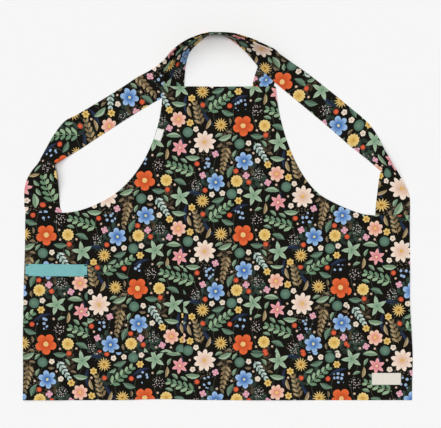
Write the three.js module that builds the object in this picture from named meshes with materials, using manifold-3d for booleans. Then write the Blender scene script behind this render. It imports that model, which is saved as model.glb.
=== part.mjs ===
// A cross-back work smock laid out face up on a table: a bibbed body panel with two patch pockets,
// two wide straps that cross behind the neck, a towel loop at the hip and two small sewn labels.
// Millimetres, +Z up. X runs across the smock, and Y runs from the hem up to the neck.
import * as THREE from "three";
import { mergeVertices } from "three/addons/utils/BufferGeometryUtils.js";
import Module from "manifold-3d";

const wasm = await Module();
wasm.setup();

// Cloth walls and the small gap that sewn pieces keep
const CLOTH = 1.2;
const STRAP_CLOTH = 1.6;
const LABEL_CLOTH = 1.0;
const SEW_GAP = 0.3;

// Body panel: hem, side edges and bib
const HEM_HALF_WIDTH = 467;
const SIDE_HALF_WIDTH = 461;
const BIB_TOP = 753;
const PANEL_CELL = 25;
const PANEL_MARGIN = 3;
const CUT_BELOW = 10;
const CUT_DEPTH = 30;

// Armholes: quarter ellipses from the bib's top corner to the skirt's corner, as the cloth lies.
// sway is how far the edge swings out above the middle of the curve, and in below it.
const ARMHOLES = {
  left: { side: -1, bib: 131.5, outer: 372.5, corner: 450, sway: 0 },
  right: { side: 1, bib: 139.5, outer: 378, corner: 444, sway: 5 },
};
const ARMHOLE_STEPS = 20;

// Patch pockets, one on each side of the middle
const POCKET_INNER = 82;
const POCKET_OUTER = 312;
const POCKET_BOTTOM = 115;
const POCKET_MOUTH = 324;
const POCKET_PUFF = 5.6;
const POCKET_RAMP = 28;
const POCKET_CELL = 14;

// Towel loop: a flat tape from the side edge to the pocket, sewn down at both ends
const LOOP_LEFT = -461;
const LOOP_RIGHT = -314.5;
const LOOP_MIDDLE = 312;
const LOOP_WIDTH = 29;
const LOOP_SEWN = 10;
const LOOP_RAMP = 16;
const LOOP_PUFF = 5.6;
const LOOP_CELLS = { along: 20, across: 2 };

// Sewn labels: one near the hem, and one flush with the bib's edge
const HEM_LABEL = { left: 370, bottom: 35, width: 68, height: 30 };
const EDGE_LABEL = { middle: 640, inward: 16.5, along: 28.5, inset: 0.8 };
const LABEL_CELLS = { across: 4, along: 2 };

// Straps: the number of wall cells between two table rows, and across the width
const STRAP_STEPS = 4;
const STRAP_ACROSS = 3;

// The step along a curve that its direction is taken over, and the distance at which points are one
const CURVE_STEP = 1e-3;
const SAME_POINT = 1e-4;

// Where the panel stands off the table, over a strap's end or in a soft ripple of its edge.
// x and y are the middle of the lifted place, and it falls to nothing at the reach.
const LIFTS = [
  { place: "left bib corner", x: -112, y: 762, reachX: 96, reachY: 92, height: 4.8 },
  { place: "right bib corner", x: 112, y: 762, reachX: 96, reachY: 92, height: 2.0 },
  { place: "left skirt corner", x: -418, y: 456, reachX: 124, reachY: 76, height: 2.0 },
  { place: "right skirt corner", x: 418, y: 456, reachX: 124, reachY: 76, height: 2.0 },
  { place: "hem, left end", x: -440, y: 0, reachX: 100, reachY: 70, height: 2.2 },
  { place: "hem, left of middle", x: -190, y: 0, reachX: 90, reachY: 60, height: 1.2 },
  { place: "hem, right of middle", x: 130, y: 0, reachX: 100, reachY: 60, height: 1.2 },
  { place: "right side edge", x: 465, y: 240, reachX: 60, reachY: 110, height: 1.5 },
  { place: "left side edge", x: -465, y: 150, reachX: 60, reachY: 90, height: 1.5 },
];

// Each strap is a row of sections from the bib to the far side of the skirt. x and y are the inner
// edge, facing is the way to the outer edge in plan, bank is how far the outer edge is turned up from
// the inner one, or down where it is negative, and lift is the inner edge's height. Angles are in degrees.
const STRAP_COLUMNS = ["x", "y", "facing", "width", "bank", "lift"];
const LEFT_STRAP = [
  [-80, 735, 180, 50, 0, 2.8],
  [-80, 756, 180, 50, 0, 2.8],
  [-79, 779, 177, 53, 28, 2.4],
  [-76.5, 808, 166, 57, 60, 1],
  [-68, 834, 150, 60, 73, 0.3],
  [-50, 855, 131, 62, 82, 0.2],
  [-23, 869, 108, 63, 87, 0.2],
  [7, 871, 87, 64, 88, 0.3],
  [34, 863.5, 64, 64, 84, 0.8],
  [57.5, 846.5, 51, 64, 74, 1.6],
  [77, 827, 45, 64, 62, 2.2],
  [98, 801, 44.5, 63, 38, 4],
  [133, 767, 48.5, 62, 10, 2.9],
  [188, 721, 50.5, 67.5, 1, 0.4],
  [273, 650, 50.5, 69.5, 0, 0],
  [317, 611.5, 50.5, 70, 0, 0],
  [344, 590, 48.5, 60, 3, 0],
  [366, 572.5, 39.5, 47, 20, 0],
  [384, 557, 39, 40.5, 28, 0],
  [392, 549.5, 27.5, 36.5, 29.5, 0],
  [389.5, 540, 9, 45, 18, 0],
  [386, 516, 3.5, 62.5, 7.5, 0],
  [383, 492, 0.5, 77, 2, 0],
  [380, 466, 0, 82.5, 0, 0],
  [379, 446, 0, 83, 0, 0],
  [379, 425, 0, 82, 0, 0],
];
const RIGHT_STRAP = [
  [84, 735, 0, 52, 0, 0],
  [84, 757, 0, 52, 0, 0],
  [90, 781, 8, 56, 3, 0],
  [96, 806, 25, 59, 16, 0],
  [80.5, 830.5, 45, 61, 58, 0],
  [60, 849.5, 52, 62, 71, 0],
  [35, 866.5, 66, 63, 82, 0],
  [5, 874.5, 90, 64, 88, 0],
  [-23, 872.5, 104, 64, 87, 0],
  [-49.5, 861.5, 117, 64, 84, 0],
  [-62, 848.5, 128, 64, 77, 0],
  [-74.5, 830, 136, 65, 68, 0],
  [-85, 807, 135, 61, 54, 0],
  [-92, 766, 131, 63, 13, 0],
  [-124, 732, 124, 71, 0, 0],
  [-155, 713.5, 123, 72.5, 0, 0],
  [-186, 695, 122, 70.5, 0, 0],
  [-297, 624, 122, 73.5, 0, 0],
  [-324.5, 605.5, 122.5, 77, 0, 0],
  [-351, 590, 134, 62.5, -2, 2.2],
  [-366.5, 580, 144.5, 52, -6.5, 6],
  [-380.5, 570.5, 163, 47, -19.5, 15.8],
  [-388.5, 564, 176, 49.5, -29, 24.1],
  [-385, 550.5, 179.5, 65, -22.5, 24.9],
  [-382, 529.5, 180, 78, -15, 20.2],
  [-380.5, 507, 180.5, 83.5, -7, 10.2],
  [-379.5, 482, 180.5, 84.5, -2.5, 3.7],
  [-377.5, 462, 180, 86, 0, 0],
  [-374, 452, 180, 87, 0, 0],
  [-374, 431, 180, 87, 0, 0],
];

// Finishes
const PRINTED_CANVAS = { color: 0x1d1c1f, roughness: 0.85, metalness: 0 };
const TEAL_TAPE = { color: 0x78bfbd, roughness: 0.8, metalness: 0 };
const LABEL_COTTON = { color: 0xe6e1d6, roughness: 0.85, metalness: 0 };

// A named mesh with its own material of one finish.
function piece(name, geometry, finish) {
  const mesh = new THREE.Mesh(geometry, new THREE.MeshStandardMaterial(finish));
  mesh.name = name;
  return mesh;
}

// A closed wall of cloth. face(u, v) gives the points under and over the cloth at u across and v along.
function wallGeometry(columns, rows, face) {
  const across = columns + 1;
  const layer = across * (rows + 1);
  const positions = new Float32Array(layer * 2 * 3);
  for (let j = 0; j <= rows; j++) {
    for (let i = 0; i <= columns; i++) {
      const { under, over } = face(i / columns, j / rows);
      const k = j * across + i;
      under.toArray(positions, k * 3);
      over.toArray(positions, (layer + k) * 3);
    }
  }
  const index = [];
  const quad = (a, b, c, d) => index.push(a, b, c, a, c, d);
  for (let j = 0; j < rows; j++) {
    for (let i = 0; i < columns; i++) {
      const a = j * across + i;
      quad(a, a + across, a + across + 1, a + 1);
      quad(layer + a, layer + a + 1, layer + a + across + 1, layer + a + across);
    }
  }
  const rim = [];
  for (let i = 0; i < columns; i++) rim.push(i);
  for (let j = 0; j < rows; j++) rim.push(j * across + columns);
  for (let i = columns; i > 0; i--) rim.push(rows * across + i);
  for (let j = rows; j > 0; j--) rim.push(j * across);
  rim.forEach((a, n) => {
    const b = rim[(n + 1) % rim.length];
    quad(a, b, layer + b, layer + a);
  });
  return new THREE.BufferGeometry()
    .setAttribute("position", new THREE.BufferAttribute(positions, 3))
    .setIndex(index);
}

// A closed geometry as a solid that can be cut, and a solid as a geometry again.
function solidOf(geometry) {
  const bare = geometry.clone();
  bare.deleteAttribute("normal");
  bare.deleteAttribute("uv");
  const merged = mergeVertices(bare, SAME_POINT);
  const vertProperties = merged.getAttribute("position").array;
  const triVerts = new Uint32Array(merged.index.array);
  return new wasm.Manifold(new wasm.Mesh({ numProp: 3, vertProperties, triVerts }));
}

function geometryOf(solid) {
  const mesh = solid.getMesh();
  return new THREE.BufferGeometry()
    .setAttribute("position", new THREE.BufferAttribute(mesh.vertProperties, 3))
    .setIndex(new THREE.BufferAttribute(mesh.triVerts, 1));
}

// The height of the panel's underside above the table.
function panelLift(x, y) {
  const share = (distance, reach) => 1 - THREE.MathUtils.smoothstep(Math.abs(distance) / reach, 0.45, 1);
  const heights = LIFTS.map((at) => at.height * share(x - at.x, at.reachX) * share(y - at.y, at.reachY));
  return Math.max(...heights);
}

// The points under and over a cloth of this thickness that lies on the panel, raised by rise.
function onPanel(x, y, rise, thickness) {
  const z = panelLift(x, y) + CLOTH + SEW_GAP + rise;
  return { under: new THREE.Vector3(x, y, z), over: new THREE.Vector3(x, y, z + thickness) };
}

// The edge of an armhole at turn, which runs from 0 at the bib's top to a right angle at the skirt's
// corner.
function armholeEdge({ side, bib, outer, corner, sway }, turn) {
  const out = outer - (outer - bib) * Math.cos(turn) + sway * Math.sin(4 * turn);
  return new THREE.Vector2(side * out, BIB_TOP - (BIB_TOP - corner) * Math.sin(turn));
}

// The panel's cut: straight hem and sides, flat skirt corners and the two armholes.
function panelShape() {
  const quarter = Math.PI / 2;
  const turns = Array.from({ length: ARMHOLE_STEPS + 1 }, (_, i) => (i / ARMHOLE_STEPS) * quarter);
  const left = turns.map((turn) => armholeEdge(ARMHOLES.left, turn));
  const right = turns.map((turn) => armholeEdge(ARMHOLES.right, turn));
  return new THREE.Shape([
    new THREE.Vector2(-HEM_HALF_WIDTH, 0),
    new THREE.Vector2(HEM_HALF_WIDTH, 0),
    new THREE.Vector2(SIDE_HALF_WIDTH, ARMHOLES.right.corner),
    ...right.reverse(),
    ...left,
    new THREE.Vector2(-SIDE_HALF_WIDTH, ARMHOLES.left.corner),
  ]);
}

// The body panel: a rippled sheet of cloth, cut to the panel's shape.
function bodyPanel() {
  const width = 2 * (HEM_HALF_WIDTH + PANEL_MARGIN);
  const length = BIB_TOP + 2 * PANEL_MARGIN;
  const columns = Math.round(width / PANEL_CELL);
  const rows = Math.round(length / PANEL_CELL);
  const sheet = wallGeometry(columns, rows, (u, v) => {
    const x = (u - 0.5) * width;
    const y = v * length - PANEL_MARGIN;
    const z = panelLift(x, y);
    return { under: new THREE.Vector3(x, y, z), over: new THREE.Vector3(x, y, z + CLOTH) };
  });
  const cutter = new THREE.ExtrudeGeometry(panelShape(), { depth: CUT_DEPTH, bevelEnabled: false });
  cutter.translate(0, 0, -CUT_BELOW);
  return geometryOf(solidOf(sheet).intersect(solidOf(cutter)));
}

// A patch pocket sewn down along its sides and bottom, puffed a little, open at the mouth.
function pocket(side) {
  const width = POCKET_OUTER - POCKET_INNER;
  const height = POCKET_MOUTH - POCKET_BOTTOM;
  const left = side < 0 ? -POCKET_OUTER : POCKET_INNER;
  const columns = Math.round(width / POCKET_CELL);
  const rows = Math.round(height / POCKET_CELL);
  const ramp = (distance) => THREE.MathUtils.smoothstep(distance, 0, POCKET_RAMP);
  return wallGeometry(columns, rows, (u, v) => {
    const across = u * width;
    const up = v * height;
    const rise = POCKET_PUFF * ramp(across) * ramp(width - across) * ramp(up);
    return onPanel(left + across, POCKET_BOTTOM + up, rise, CLOTH);
  });
}

// The towel loop: a tape that arches off the panel between its two sewn ends.
function towelLoop() {
  const length = LOOP_RIGHT - LOOP_LEFT;
  const ramp = (distance) => THREE.MathUtils.smoothstep(distance, LOOP_SEWN, LOOP_SEWN + LOOP_RAMP);
  return wallGeometry(LOOP_CELLS.along, LOOP_CELLS.across, (u, v) => {
    const along = u * length;
    const rise = LOOP_PUFF * ramp(along) * ramp(length - along);
    return onPanel(LOOP_LEFT + along, LOOP_MIDDLE + (v - 0.5) * LOOP_WIDTH, rise, CLOTH);
  });
}

// The label near the hem.
function hemLabel() {
  const { left, bottom, width, height } = HEM_LABEL;
  return wallGeometry(LABEL_CELLS.across, LABEL_CELLS.along, (u, v) => {
    return onPanel(left + u * width, bottom + v * height, 0, LABEL_CLOTH);
  });
}

// The small label whose long side follows the left armhole's edge.
function edgeLabel() {
  const turn = Math.asin((BIB_TOP - EDGE_LABEL.middle) / (BIB_TOP - ARMHOLES.left.corner));
  const edge = armholeEdge(ARMHOLES.left, turn);
  const along = armholeEdge(ARMHOLES.left, turn - CURVE_STEP).sub(edge).normalize();
  const inward = new THREE.Vector2(along.y, -along.x);
  return wallGeometry(LABEL_CELLS.across, LABEL_CELLS.along, (u, v) => {
    const at = edge
      .clone()
      .addScaledVector(inward, EDGE_LABEL.inset + u * EDGE_LABEL.inward)
      .addScaledVector(along, (v - 0.5) * EDGE_LABEL.along);
    return onPanel(at.x, at.y, 0, LABEL_CLOTH);
  });
}

// The inner and outer edges of a strap: smooth curves through its table of sections, which never
// sink under the lower edge that the table gives.
function strapEdges(table) {
  const sections = table.map((row) => {
    return Object.fromEntries(STRAP_COLUMNS.map((column, i) => [column, row[i]]));
  });
  const inner = [];
  const outer = [];
  const lowest = [];
  for (const at of sections) {
    const facing = THREE.MathUtils.degToRad(at.facing);
    const bank = THREE.MathUtils.degToRad(at.bank);
    const reach = at.width * Math.cos(bank);
    const rise = at.width * Math.sin(bank);
    const foot = new THREE.Vector3(at.x, at.y, at.lift);
    const toOuter = new THREE.Vector3(reach * Math.cos(facing), reach * Math.sin(facing), rise);
    inner.push(foot);
    outer.push(foot.clone().add(toOuter));
    lowest.push(Math.min(at.lift, at.lift + rise));
  }
  const curves = [new THREE.CatmullRomCurve3(inner), new THREE.CatmullRomCurve3(outer)];
  const last = sections.length - 1;
  return (v) => {
    const row = Math.min(Math.floor(v * last), last - 1);
    const floor = THREE.MathUtils.lerp(lowest[row], lowest[row + 1], v * last - row);
    return curves.map((curve) => {
      const point = curve.getPoint(v);
      point.z = Math.max(point.z, floor);
      return point;
    });
  };
}

// A strap: a wall ruled between its two edges, thick towards the printed side. turn is 1 where the
// outer edge is on the right of the way along the strap, and -1 where it is on the left.
function strap(table, turn) {
  const edges = strapEdges(table);
  const rows = (table.length - 1) * STRAP_STEPS;
  return wallGeometry(STRAP_ACROSS, rows, (u, v) => {
    const share = turn > 0 ? u : 1 - u;
    const at = (t) => {
      const [inner, outer] = edges(t);
      return inner.lerp(outer, share);
    };
    const under = at(v);
    const along = at(Math.min(1, v + CURVE_STEP)).sub(at(Math.max(0, v - CURVE_STEP)));
    const [inner, outer] = edges(v);
    const normal = outer.sub(inner).multiplyScalar(turn).cross(along).normalize();
    return { under, over: under.clone().addScaledVector(normal, STRAP_CLOTH) };
  });
}

const smock = new THREE.Group();
smock.add(
  piece("body_panel", bodyPanel(), PRINTED_CANVAS),
  piece("left_pocket", pocket(-1), PRINTED_CANVAS),
  piece("right_pocket", pocket(1), PRINTED_CANVAS),
  piece("left_strap", strap(LEFT_STRAP, -1), PRINTED_CANVAS),
  piece("right_strap", strap(RIGHT_STRAP, 1), PRINTED_CANVAS),
  piece("towel_loop", towelLoop(), TEAL_TAPE),
  piece("hem_label", hemLabel(), LABEL_COTTON),
  piece("edge_label", edgeLabel(), LABEL_COTTON),
);

// The origin is the middle of the smock's outline, on the table.
const box = new THREE.Box3().setFromObject(smock);
const middle = box.getCenter(new THREE.Vector3());
smock.children.forEach((mesh) => mesh.position.set(-middle.x, -middle.y, -box.min.z));

export default smock;
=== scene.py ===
"""Dresses a cross-back work smock that lies flat, printed side up, on a pale floor.

Lengths in the classes are millimetres on the smock: x runs across it from the middle, y runs up from
the hem and z is the height above the floor. to_frame() turns such places into the frame's metres.
"""

import logging
import math
from dataclasses import dataclass
from enum import Enum
from typing import NamedTuple

import bpy
import numpy as np
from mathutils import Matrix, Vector


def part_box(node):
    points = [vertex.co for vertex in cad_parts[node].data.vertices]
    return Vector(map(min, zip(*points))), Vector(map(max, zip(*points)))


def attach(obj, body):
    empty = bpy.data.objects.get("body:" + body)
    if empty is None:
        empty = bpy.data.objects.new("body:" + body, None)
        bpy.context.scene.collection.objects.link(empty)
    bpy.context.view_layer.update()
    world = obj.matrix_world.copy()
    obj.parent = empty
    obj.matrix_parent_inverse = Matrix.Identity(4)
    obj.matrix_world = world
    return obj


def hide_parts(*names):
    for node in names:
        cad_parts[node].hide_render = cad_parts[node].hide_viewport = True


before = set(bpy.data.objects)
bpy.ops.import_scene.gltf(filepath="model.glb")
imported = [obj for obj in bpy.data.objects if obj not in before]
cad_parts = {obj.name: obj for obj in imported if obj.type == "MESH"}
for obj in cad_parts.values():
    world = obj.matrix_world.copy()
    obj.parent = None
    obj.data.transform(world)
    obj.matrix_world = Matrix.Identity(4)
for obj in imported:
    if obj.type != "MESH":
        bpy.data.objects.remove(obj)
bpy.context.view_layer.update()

LOG = logging.getLogger("smock")
MM = 0.001
HEM_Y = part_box("body_panel")[0].y
CLOTH_MAP = "cloth"
Socket = bpy.types.NodeSocket
Sockets = bpy.types.bpy_prop_collection

# Places from a hemmed edge inwards that show its rolled edge, its fold and its stitch line
HEM_PLACES = (0.0, 0.5, 1.3, 3.0, 5.2, 6.4, 7.6, 9.0, 10.5)

# A cut edge's rolled width, the share of the thickness at its very rim and the reach of a stitch's pull
EDGE_ROLL = 1.3
EDGE_SHARE = 0.35
STITCH_PULL = 0.9

# Where along an armhole's quarter turn the cloth starts to rise over the ellipse, and for how long
FILL_START = 0.9
FILL_SPAN = 0.65

# The share of a lift's reach over which the panel stays at the lift's full height
LIFT_FLAT = 0.45

# A stitch's rings: the place along its length, and the width and the rise as shares of its radius
STITCH_RINGS = ((-0.5, 0.45, -0.5), (0.0, 1.0, 0.25), (0.5, 0.45, -0.5))
STITCH_CORNERS = ((1, 0), (0, 1), (-1, 0), (0, -1))


def to_frame(points: np.ndarray) -> np.ndarray:
    """Moves places on the smock, in millimetres, to metres in the frame."""
    return points * MM + np.array([0.0, HEM_Y, 0.0])


def linear(code: str) -> tuple[float, float, float, float]:
    """Turns an sRGB hex colour into the linear colour that a shader takes.

    Args:
        code: The colour, such as "#78bfbd".

    Returns:
        Red, green, blue and a full alpha.
    """
    channels = np.array([int(code[i : i + 2], 16) for i in (1, 3, 5)]) / 255
    dark = channels / 12.92
    light = ((channels + 0.055) / 1.055) ** 2.4
    return (*np.where(channels <= 0.04045, dark, light).tolist(), 1.0)


def smooth_share(values: np.ndarray, start: float, end: float) -> np.ndarray:
    """An S-shaped share that rises from 0 at start to 1 at end: 3t^2 - 2t^3 of the linear share t."""
    share = np.clip((values - start) / (end - start), 0.0, 1.0)
    return share * share * (3.0 - 2.0 * share)


def from_hem(length: float, step: float) -> np.ndarray:
    """Places from a hemmed edge inwards: close together over the hem, then about step apart.

    Args:
        length: How far the places go.
        step: The even spacing beyond the hem.

    Returns:
        Rising places from 0 to length.
    """
    count = max(2, round((length - HEM_PLACES[-1]) / step))
    even = np.linspace(HEM_PLACES[-1], length, count + 1)
    return np.concatenate([HEM_PLACES[:-1], even])


def between_hems(length: float, step: float) -> np.ndarray:
    """Places across a strip with a hem on both edges, from 0 to length."""
    half = from_hem(length / 2, step)
    return np.concatenate([half, length - half[-2::-1]])


def between_rolls(length: float, step: float) -> np.ndarray:
    """Places across a small piece with a rolled edge on both sides, about step apart between them.

    Args:
        length: How far the places go.
        step: The even spacing between the rolled edges.

    Returns:
        Rising places from 0 to length.
    """
    rolled = np.array([place for place in HEM_PLACES if place < EDGE_ROLL])
    count = max(2, round((length - 2 * EDGE_ROLL) / step))
    even = np.linspace(EDGE_ROLL, length - EDGE_ROLL, count + 1)
    return np.concatenate([rolled, even, length - rolled[::-1]])


def rolled_edge(inset: np.ndarray) -> np.ndarray:
    """The share of a cloth's thickness near its edge: a quarter circle that starts at about a third."""
    along = np.clip(inset / EDGE_ROLL, 0.0, 1.0)
    return EDGE_SHARE + (1 - EDGE_SHARE) * np.sqrt(1 - (1 - along) ** 2)


def stitch_line(inset: np.ndarray, line: float, depth: float) -> np.ndarray:
    """How far a row of stitches pulls the cloth in: a bell across the row, at a distance from the edge."""
    return depth * np.exp(-(((inset - line) / STITCH_PULL) ** 2))


def grid_faces(rows: int, columns: int) -> np.ndarray:
    """The quads of a grid with its points row by row, facing up where rows follow y and columns x."""
    corner = np.arange((rows - 1) * columns).reshape(rows - 1, columns)[:, :-1].ravel()
    return np.stack([corner, corner + 1, corner + columns + 1, corner + columns], axis=1)


def smooth_curve(points: np.ndarray, spots: np.ndarray) -> np.ndarray:
    """A smooth curve through points, by the centripetal Catmull-Rom rule.

    Between two points it is the cubic whose end slopes come from the chords on both sides, each weighed
    by the root of its length.

    Args:
        points: The points to pass, one a row.
        spots: Where to read the curve, counted in points from the first.

    Returns:
        One place for each spot.
    """
    padded = np.vstack([2 * points[0] - points[1], points, 2 * points[-1] - points[-2]])
    roots = np.sqrt(np.linalg.norm(np.diff(padded, axis=0), axis=1))
    at = np.minimum(spots.astype(int), len(points) - 2)
    before, start, end, after = (padded[at + i] for i in range(4))
    first, middle, last = (roots[at + i, None] for i in range(3))
    leave = (start - before) / first - (end - before) / (first + middle) + (end - start) / middle
    arrive = (end - start) / middle - (after - start) / (middle + last) + (after - end) / last
    t = (spots - at)[:, None]
    return (
        start
        + (end - start) * t * t * (3 - 2 * t)
        + leave * middle * t * (1 - t) ** 2
        - arrive * middle * t * t * (1 - t)
    )


def distance_to(places: np.ndarray, path: np.ndarray) -> np.ndarray:
    """The distance in plan from each place to a path of straight stretches.

    Args:
        places: Places, one a row.
        path: The path's corners, one a row.

    Returns:
        One distance for each place.
    """
    start, step = path[:-1], np.diff(path, axis=0)
    across = places[:, None, :] - start
    share = np.clip((across * step).sum(2) / (step * step).sum(1), 0.0, 1.0)
    return np.linalg.norm(across - share[..., None] * step, axis=2).min(1)


def close_wall(
    under: np.ndarray, over: np.ndarray, faces: list[np.ndarray]
) -> tuple[np.ndarray, list[np.ndarray]]:
    """Joins two matching sheets of points into one closed wall.

    The upper faces stay as they are, the lower ones are turned round, and every edge that only one face
    has gets a quad down to the other sheet.

    Args:
        under: The lower sheet's points, one a row.
        over: The upper sheet's points, in the same order.
        faces: The upper sheet's faces, one array for each number of corners.

    Returns:
        The wall's points, upper sheet first, and its faces.
    """
    sides = [np.stack([group, np.roll(group, -1, axis=1)], axis=2).reshape(-1, 2) for group in faces]
    edges = np.concatenate(sides)
    _, first, uses = np.unique(np.sort(edges, axis=1), axis=0, return_index=True, return_counts=True)
    a, b = edges[first[uses == 1]].T
    count = len(over)
    rim = np.stack([b, a, a + count, b + count], axis=1)
    turned = [group[:, ::-1] + count for group in faces]
    return np.concatenate([over, under]), [*faces, *turned, rim]


def build_object(
    name: str, points: np.ndarray, faces: list[np.ndarray], cloth: np.ndarray, material: bpy.types.Material
) -> bpy.types.Object:
    """Makes a smooth-shaded object at the origin that moves with the smock.

    Args:
        name: The piece's name.
        points: Its points on the smock, one a row.
        faces: Its faces, one array for each number of corners.
        cloth: Each point's place on the flat cloth, which its pattern follows.
        material: Its finish.

    Returns:
        The new object.
    """
    corners = np.concatenate([group.ravel() for group in faces])
    sizes = np.concatenate([np.full(len(group), group.shape[1]) for group in faces])
    mesh = bpy.data.meshes.new(name)
    mesh.vertices.add(len(points))
    mesh.vertices.foreach_set("co", to_frame(points).astype(np.float32).ravel())
    mesh.loops.add(len(corners))
    mesh.loops.foreach_set("vertex_index", corners.astype(np.int32))
    mesh.polygons.add(len(sizes))
    mesh.polygons.foreach_set("loop_start", (np.cumsum(sizes) - sizes).astype(np.int32))
    layer = mesh.uv_layers.new(name=CLOTH_MAP)
    layer.uv.foreach_set("vector", (cloth[corners] * MM).astype(np.float32).ravel())
    mesh.update(calc_edges=True)
    mesh.validate()
    mesh.shade_smooth()
    mesh.materials.append(material)
    made = bpy.data.objects.new(name, mesh)
    bpy.context.scene.collection.objects.link(made)
    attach(made, "root")
    return made


def add_node(
    tree: bpy.types.NodeTree,
    kind: str,
    inputs: dict[str | int, object],
    output: str | int = 0,
    **settings: object,
) -> Socket:
    """Adds a node with its settings, and fills its sockets with links or fixed values.

    Args:
        tree: The tree that gets the node.
        kind: The node's type.
        inputs: A link or a fixed value for each socket, by name or number.
        output: The output to hand on.
        **settings: The node's own properties.

    Returns:
        The node's output.
    """
    node = tree.nodes.new(kind)
    for name, value in settings.items():
        setattr(node, name, value)
    for socket, value in inputs.items():
        if isinstance(value, Socket):
            tree.links.new(value, node.inputs[socket])
        else:
            node.inputs[socket].default_value = value
    return node.outputs[output]


# The nodes that the print is made of, and the sockets by which a mix node mixes colours
MATH = "ShaderNodeMath"
VECTOR = "ShaderNodeVectorMath"
MIX = "ShaderNodeMix"
MIX_FACTOR, MIX_A, MIX_B, MIX_RESULT = 0, 6, 7, 2


class Motif(Enum):
    """The kinds of figure in the print."""

    FLOWER = "flower"
    LEAF = "leaf"
    SPRIG = "sprig"
    BUD = "bud"
    SPRAY = "spray"


# The round room that each kind of motif takes: places along its axis and radii, as shares of its reach
MOTIF_ROOM = {
    Motif.FLOWER: ((0.0, 1.0),),
    Motif.LEAF: ((-0.62, 0.25), (0.0, 0.42), (0.62, 0.25)),
    Motif.SPRIG: ((-0.6, 0.44), (0.05, 0.38), (0.66, 0.28)),
    Motif.BUD: ((0.0, 1.0),),
    Motif.SPRAY: ((0.0, 1.0),),
}


@dataclass(frozen=True)
class MotifFamily:
    """Motifs of one kind, size and colouring.

    tones are the kind's colours, from its heart or shaded side outwards. petals, notch and point shape a
    flower: how many petals, how deep the notch between two is, and how sharp they are. heart is the
    share of a flower that its eye takes, and girth is a leaf's half width for its half length. A spray
    has point dots to a millimetre, with girth as their radius for their spacing. Motifs of the
    undergrowth lie under the others and take no room from them.
    """

    kind: Motif
    count: int
    reach: float
    tones: tuple[str, str, str]
    petals: int = 5
    notch: float = 0.3
    point: float = 2.5
    heart: float = 0.22
    girth: float = 0.36
    under: bool = False


class Ramp(NamedTuple):
    """A straight rise or fall: slope times a value, with start added."""

    slope: float
    start: float


@dataclass(frozen=True)
class MotifDrawing:
    """How the motifs are drawn, with lengths as shares of a motif's reach.

    petal_blush is how the light tone grows towards a petal's tip, and petal_seam how the deep tone grows
    towards the next petal. Each petal has petal_veins lines, and petal_vein is how the deep tone fades
    beside one. leaf_bend is how far a leaf's midrib bends, and leaf_rib is its half width. Its veins lean
    forward by leaf_slant, leaf_veins of them to a reach, and leaf_vein is how they fade. sprig_leaf is how
    long a sprig's leaves are along its stem, sprig_bulge is their thickness and sprig_slant their lean,
    with sprig_pairs of them to a reach. sprig_stem is the stem's half width, and sprig_end is where the
    leaves stop. bud_shade is how a bud darkens towards its rim, spray_fade how the dots of a spray shrink
    towards its rim, and dot_scatter is how far they are strewn from an even net.
    """

    petal_blush: Ramp = Ramp(1.7, -0.45)
    petal_seam: Ramp = Ramp(2.0, -1.2)
    petal_veins: float = 5.0
    petal_vein: Ramp = Ramp(-2.4, 0.5)
    leaf_bend: float = 0.16
    leaf_rib: float = 0.035
    leaf_slant: float = 1.1
    leaf_veins: float = 3.5
    leaf_vein: Ramp = Ramp(-4.0, 0.6)
    sprig_leaf: Ramp = Ramp(-0.13, 0.36)
    sprig_bulge: float = 1.5
    sprig_slant: float = 0.8
    sprig_pairs: float = 2.5
    sprig_stem: float = 0.018
    sprig_end: float = 0.98
    bud_shade: Ramp = Ramp(1.7, -0.5)
    spray_fade: Ramp = Ramp(-3.0, 3.0)
    dot_scatter: float = 0.8


class PlacedMotif(NamedTuple):
    """A motif at its place in the repeat."""

    family: MotifFamily
    x: float
    y: float
    turn: float


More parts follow.
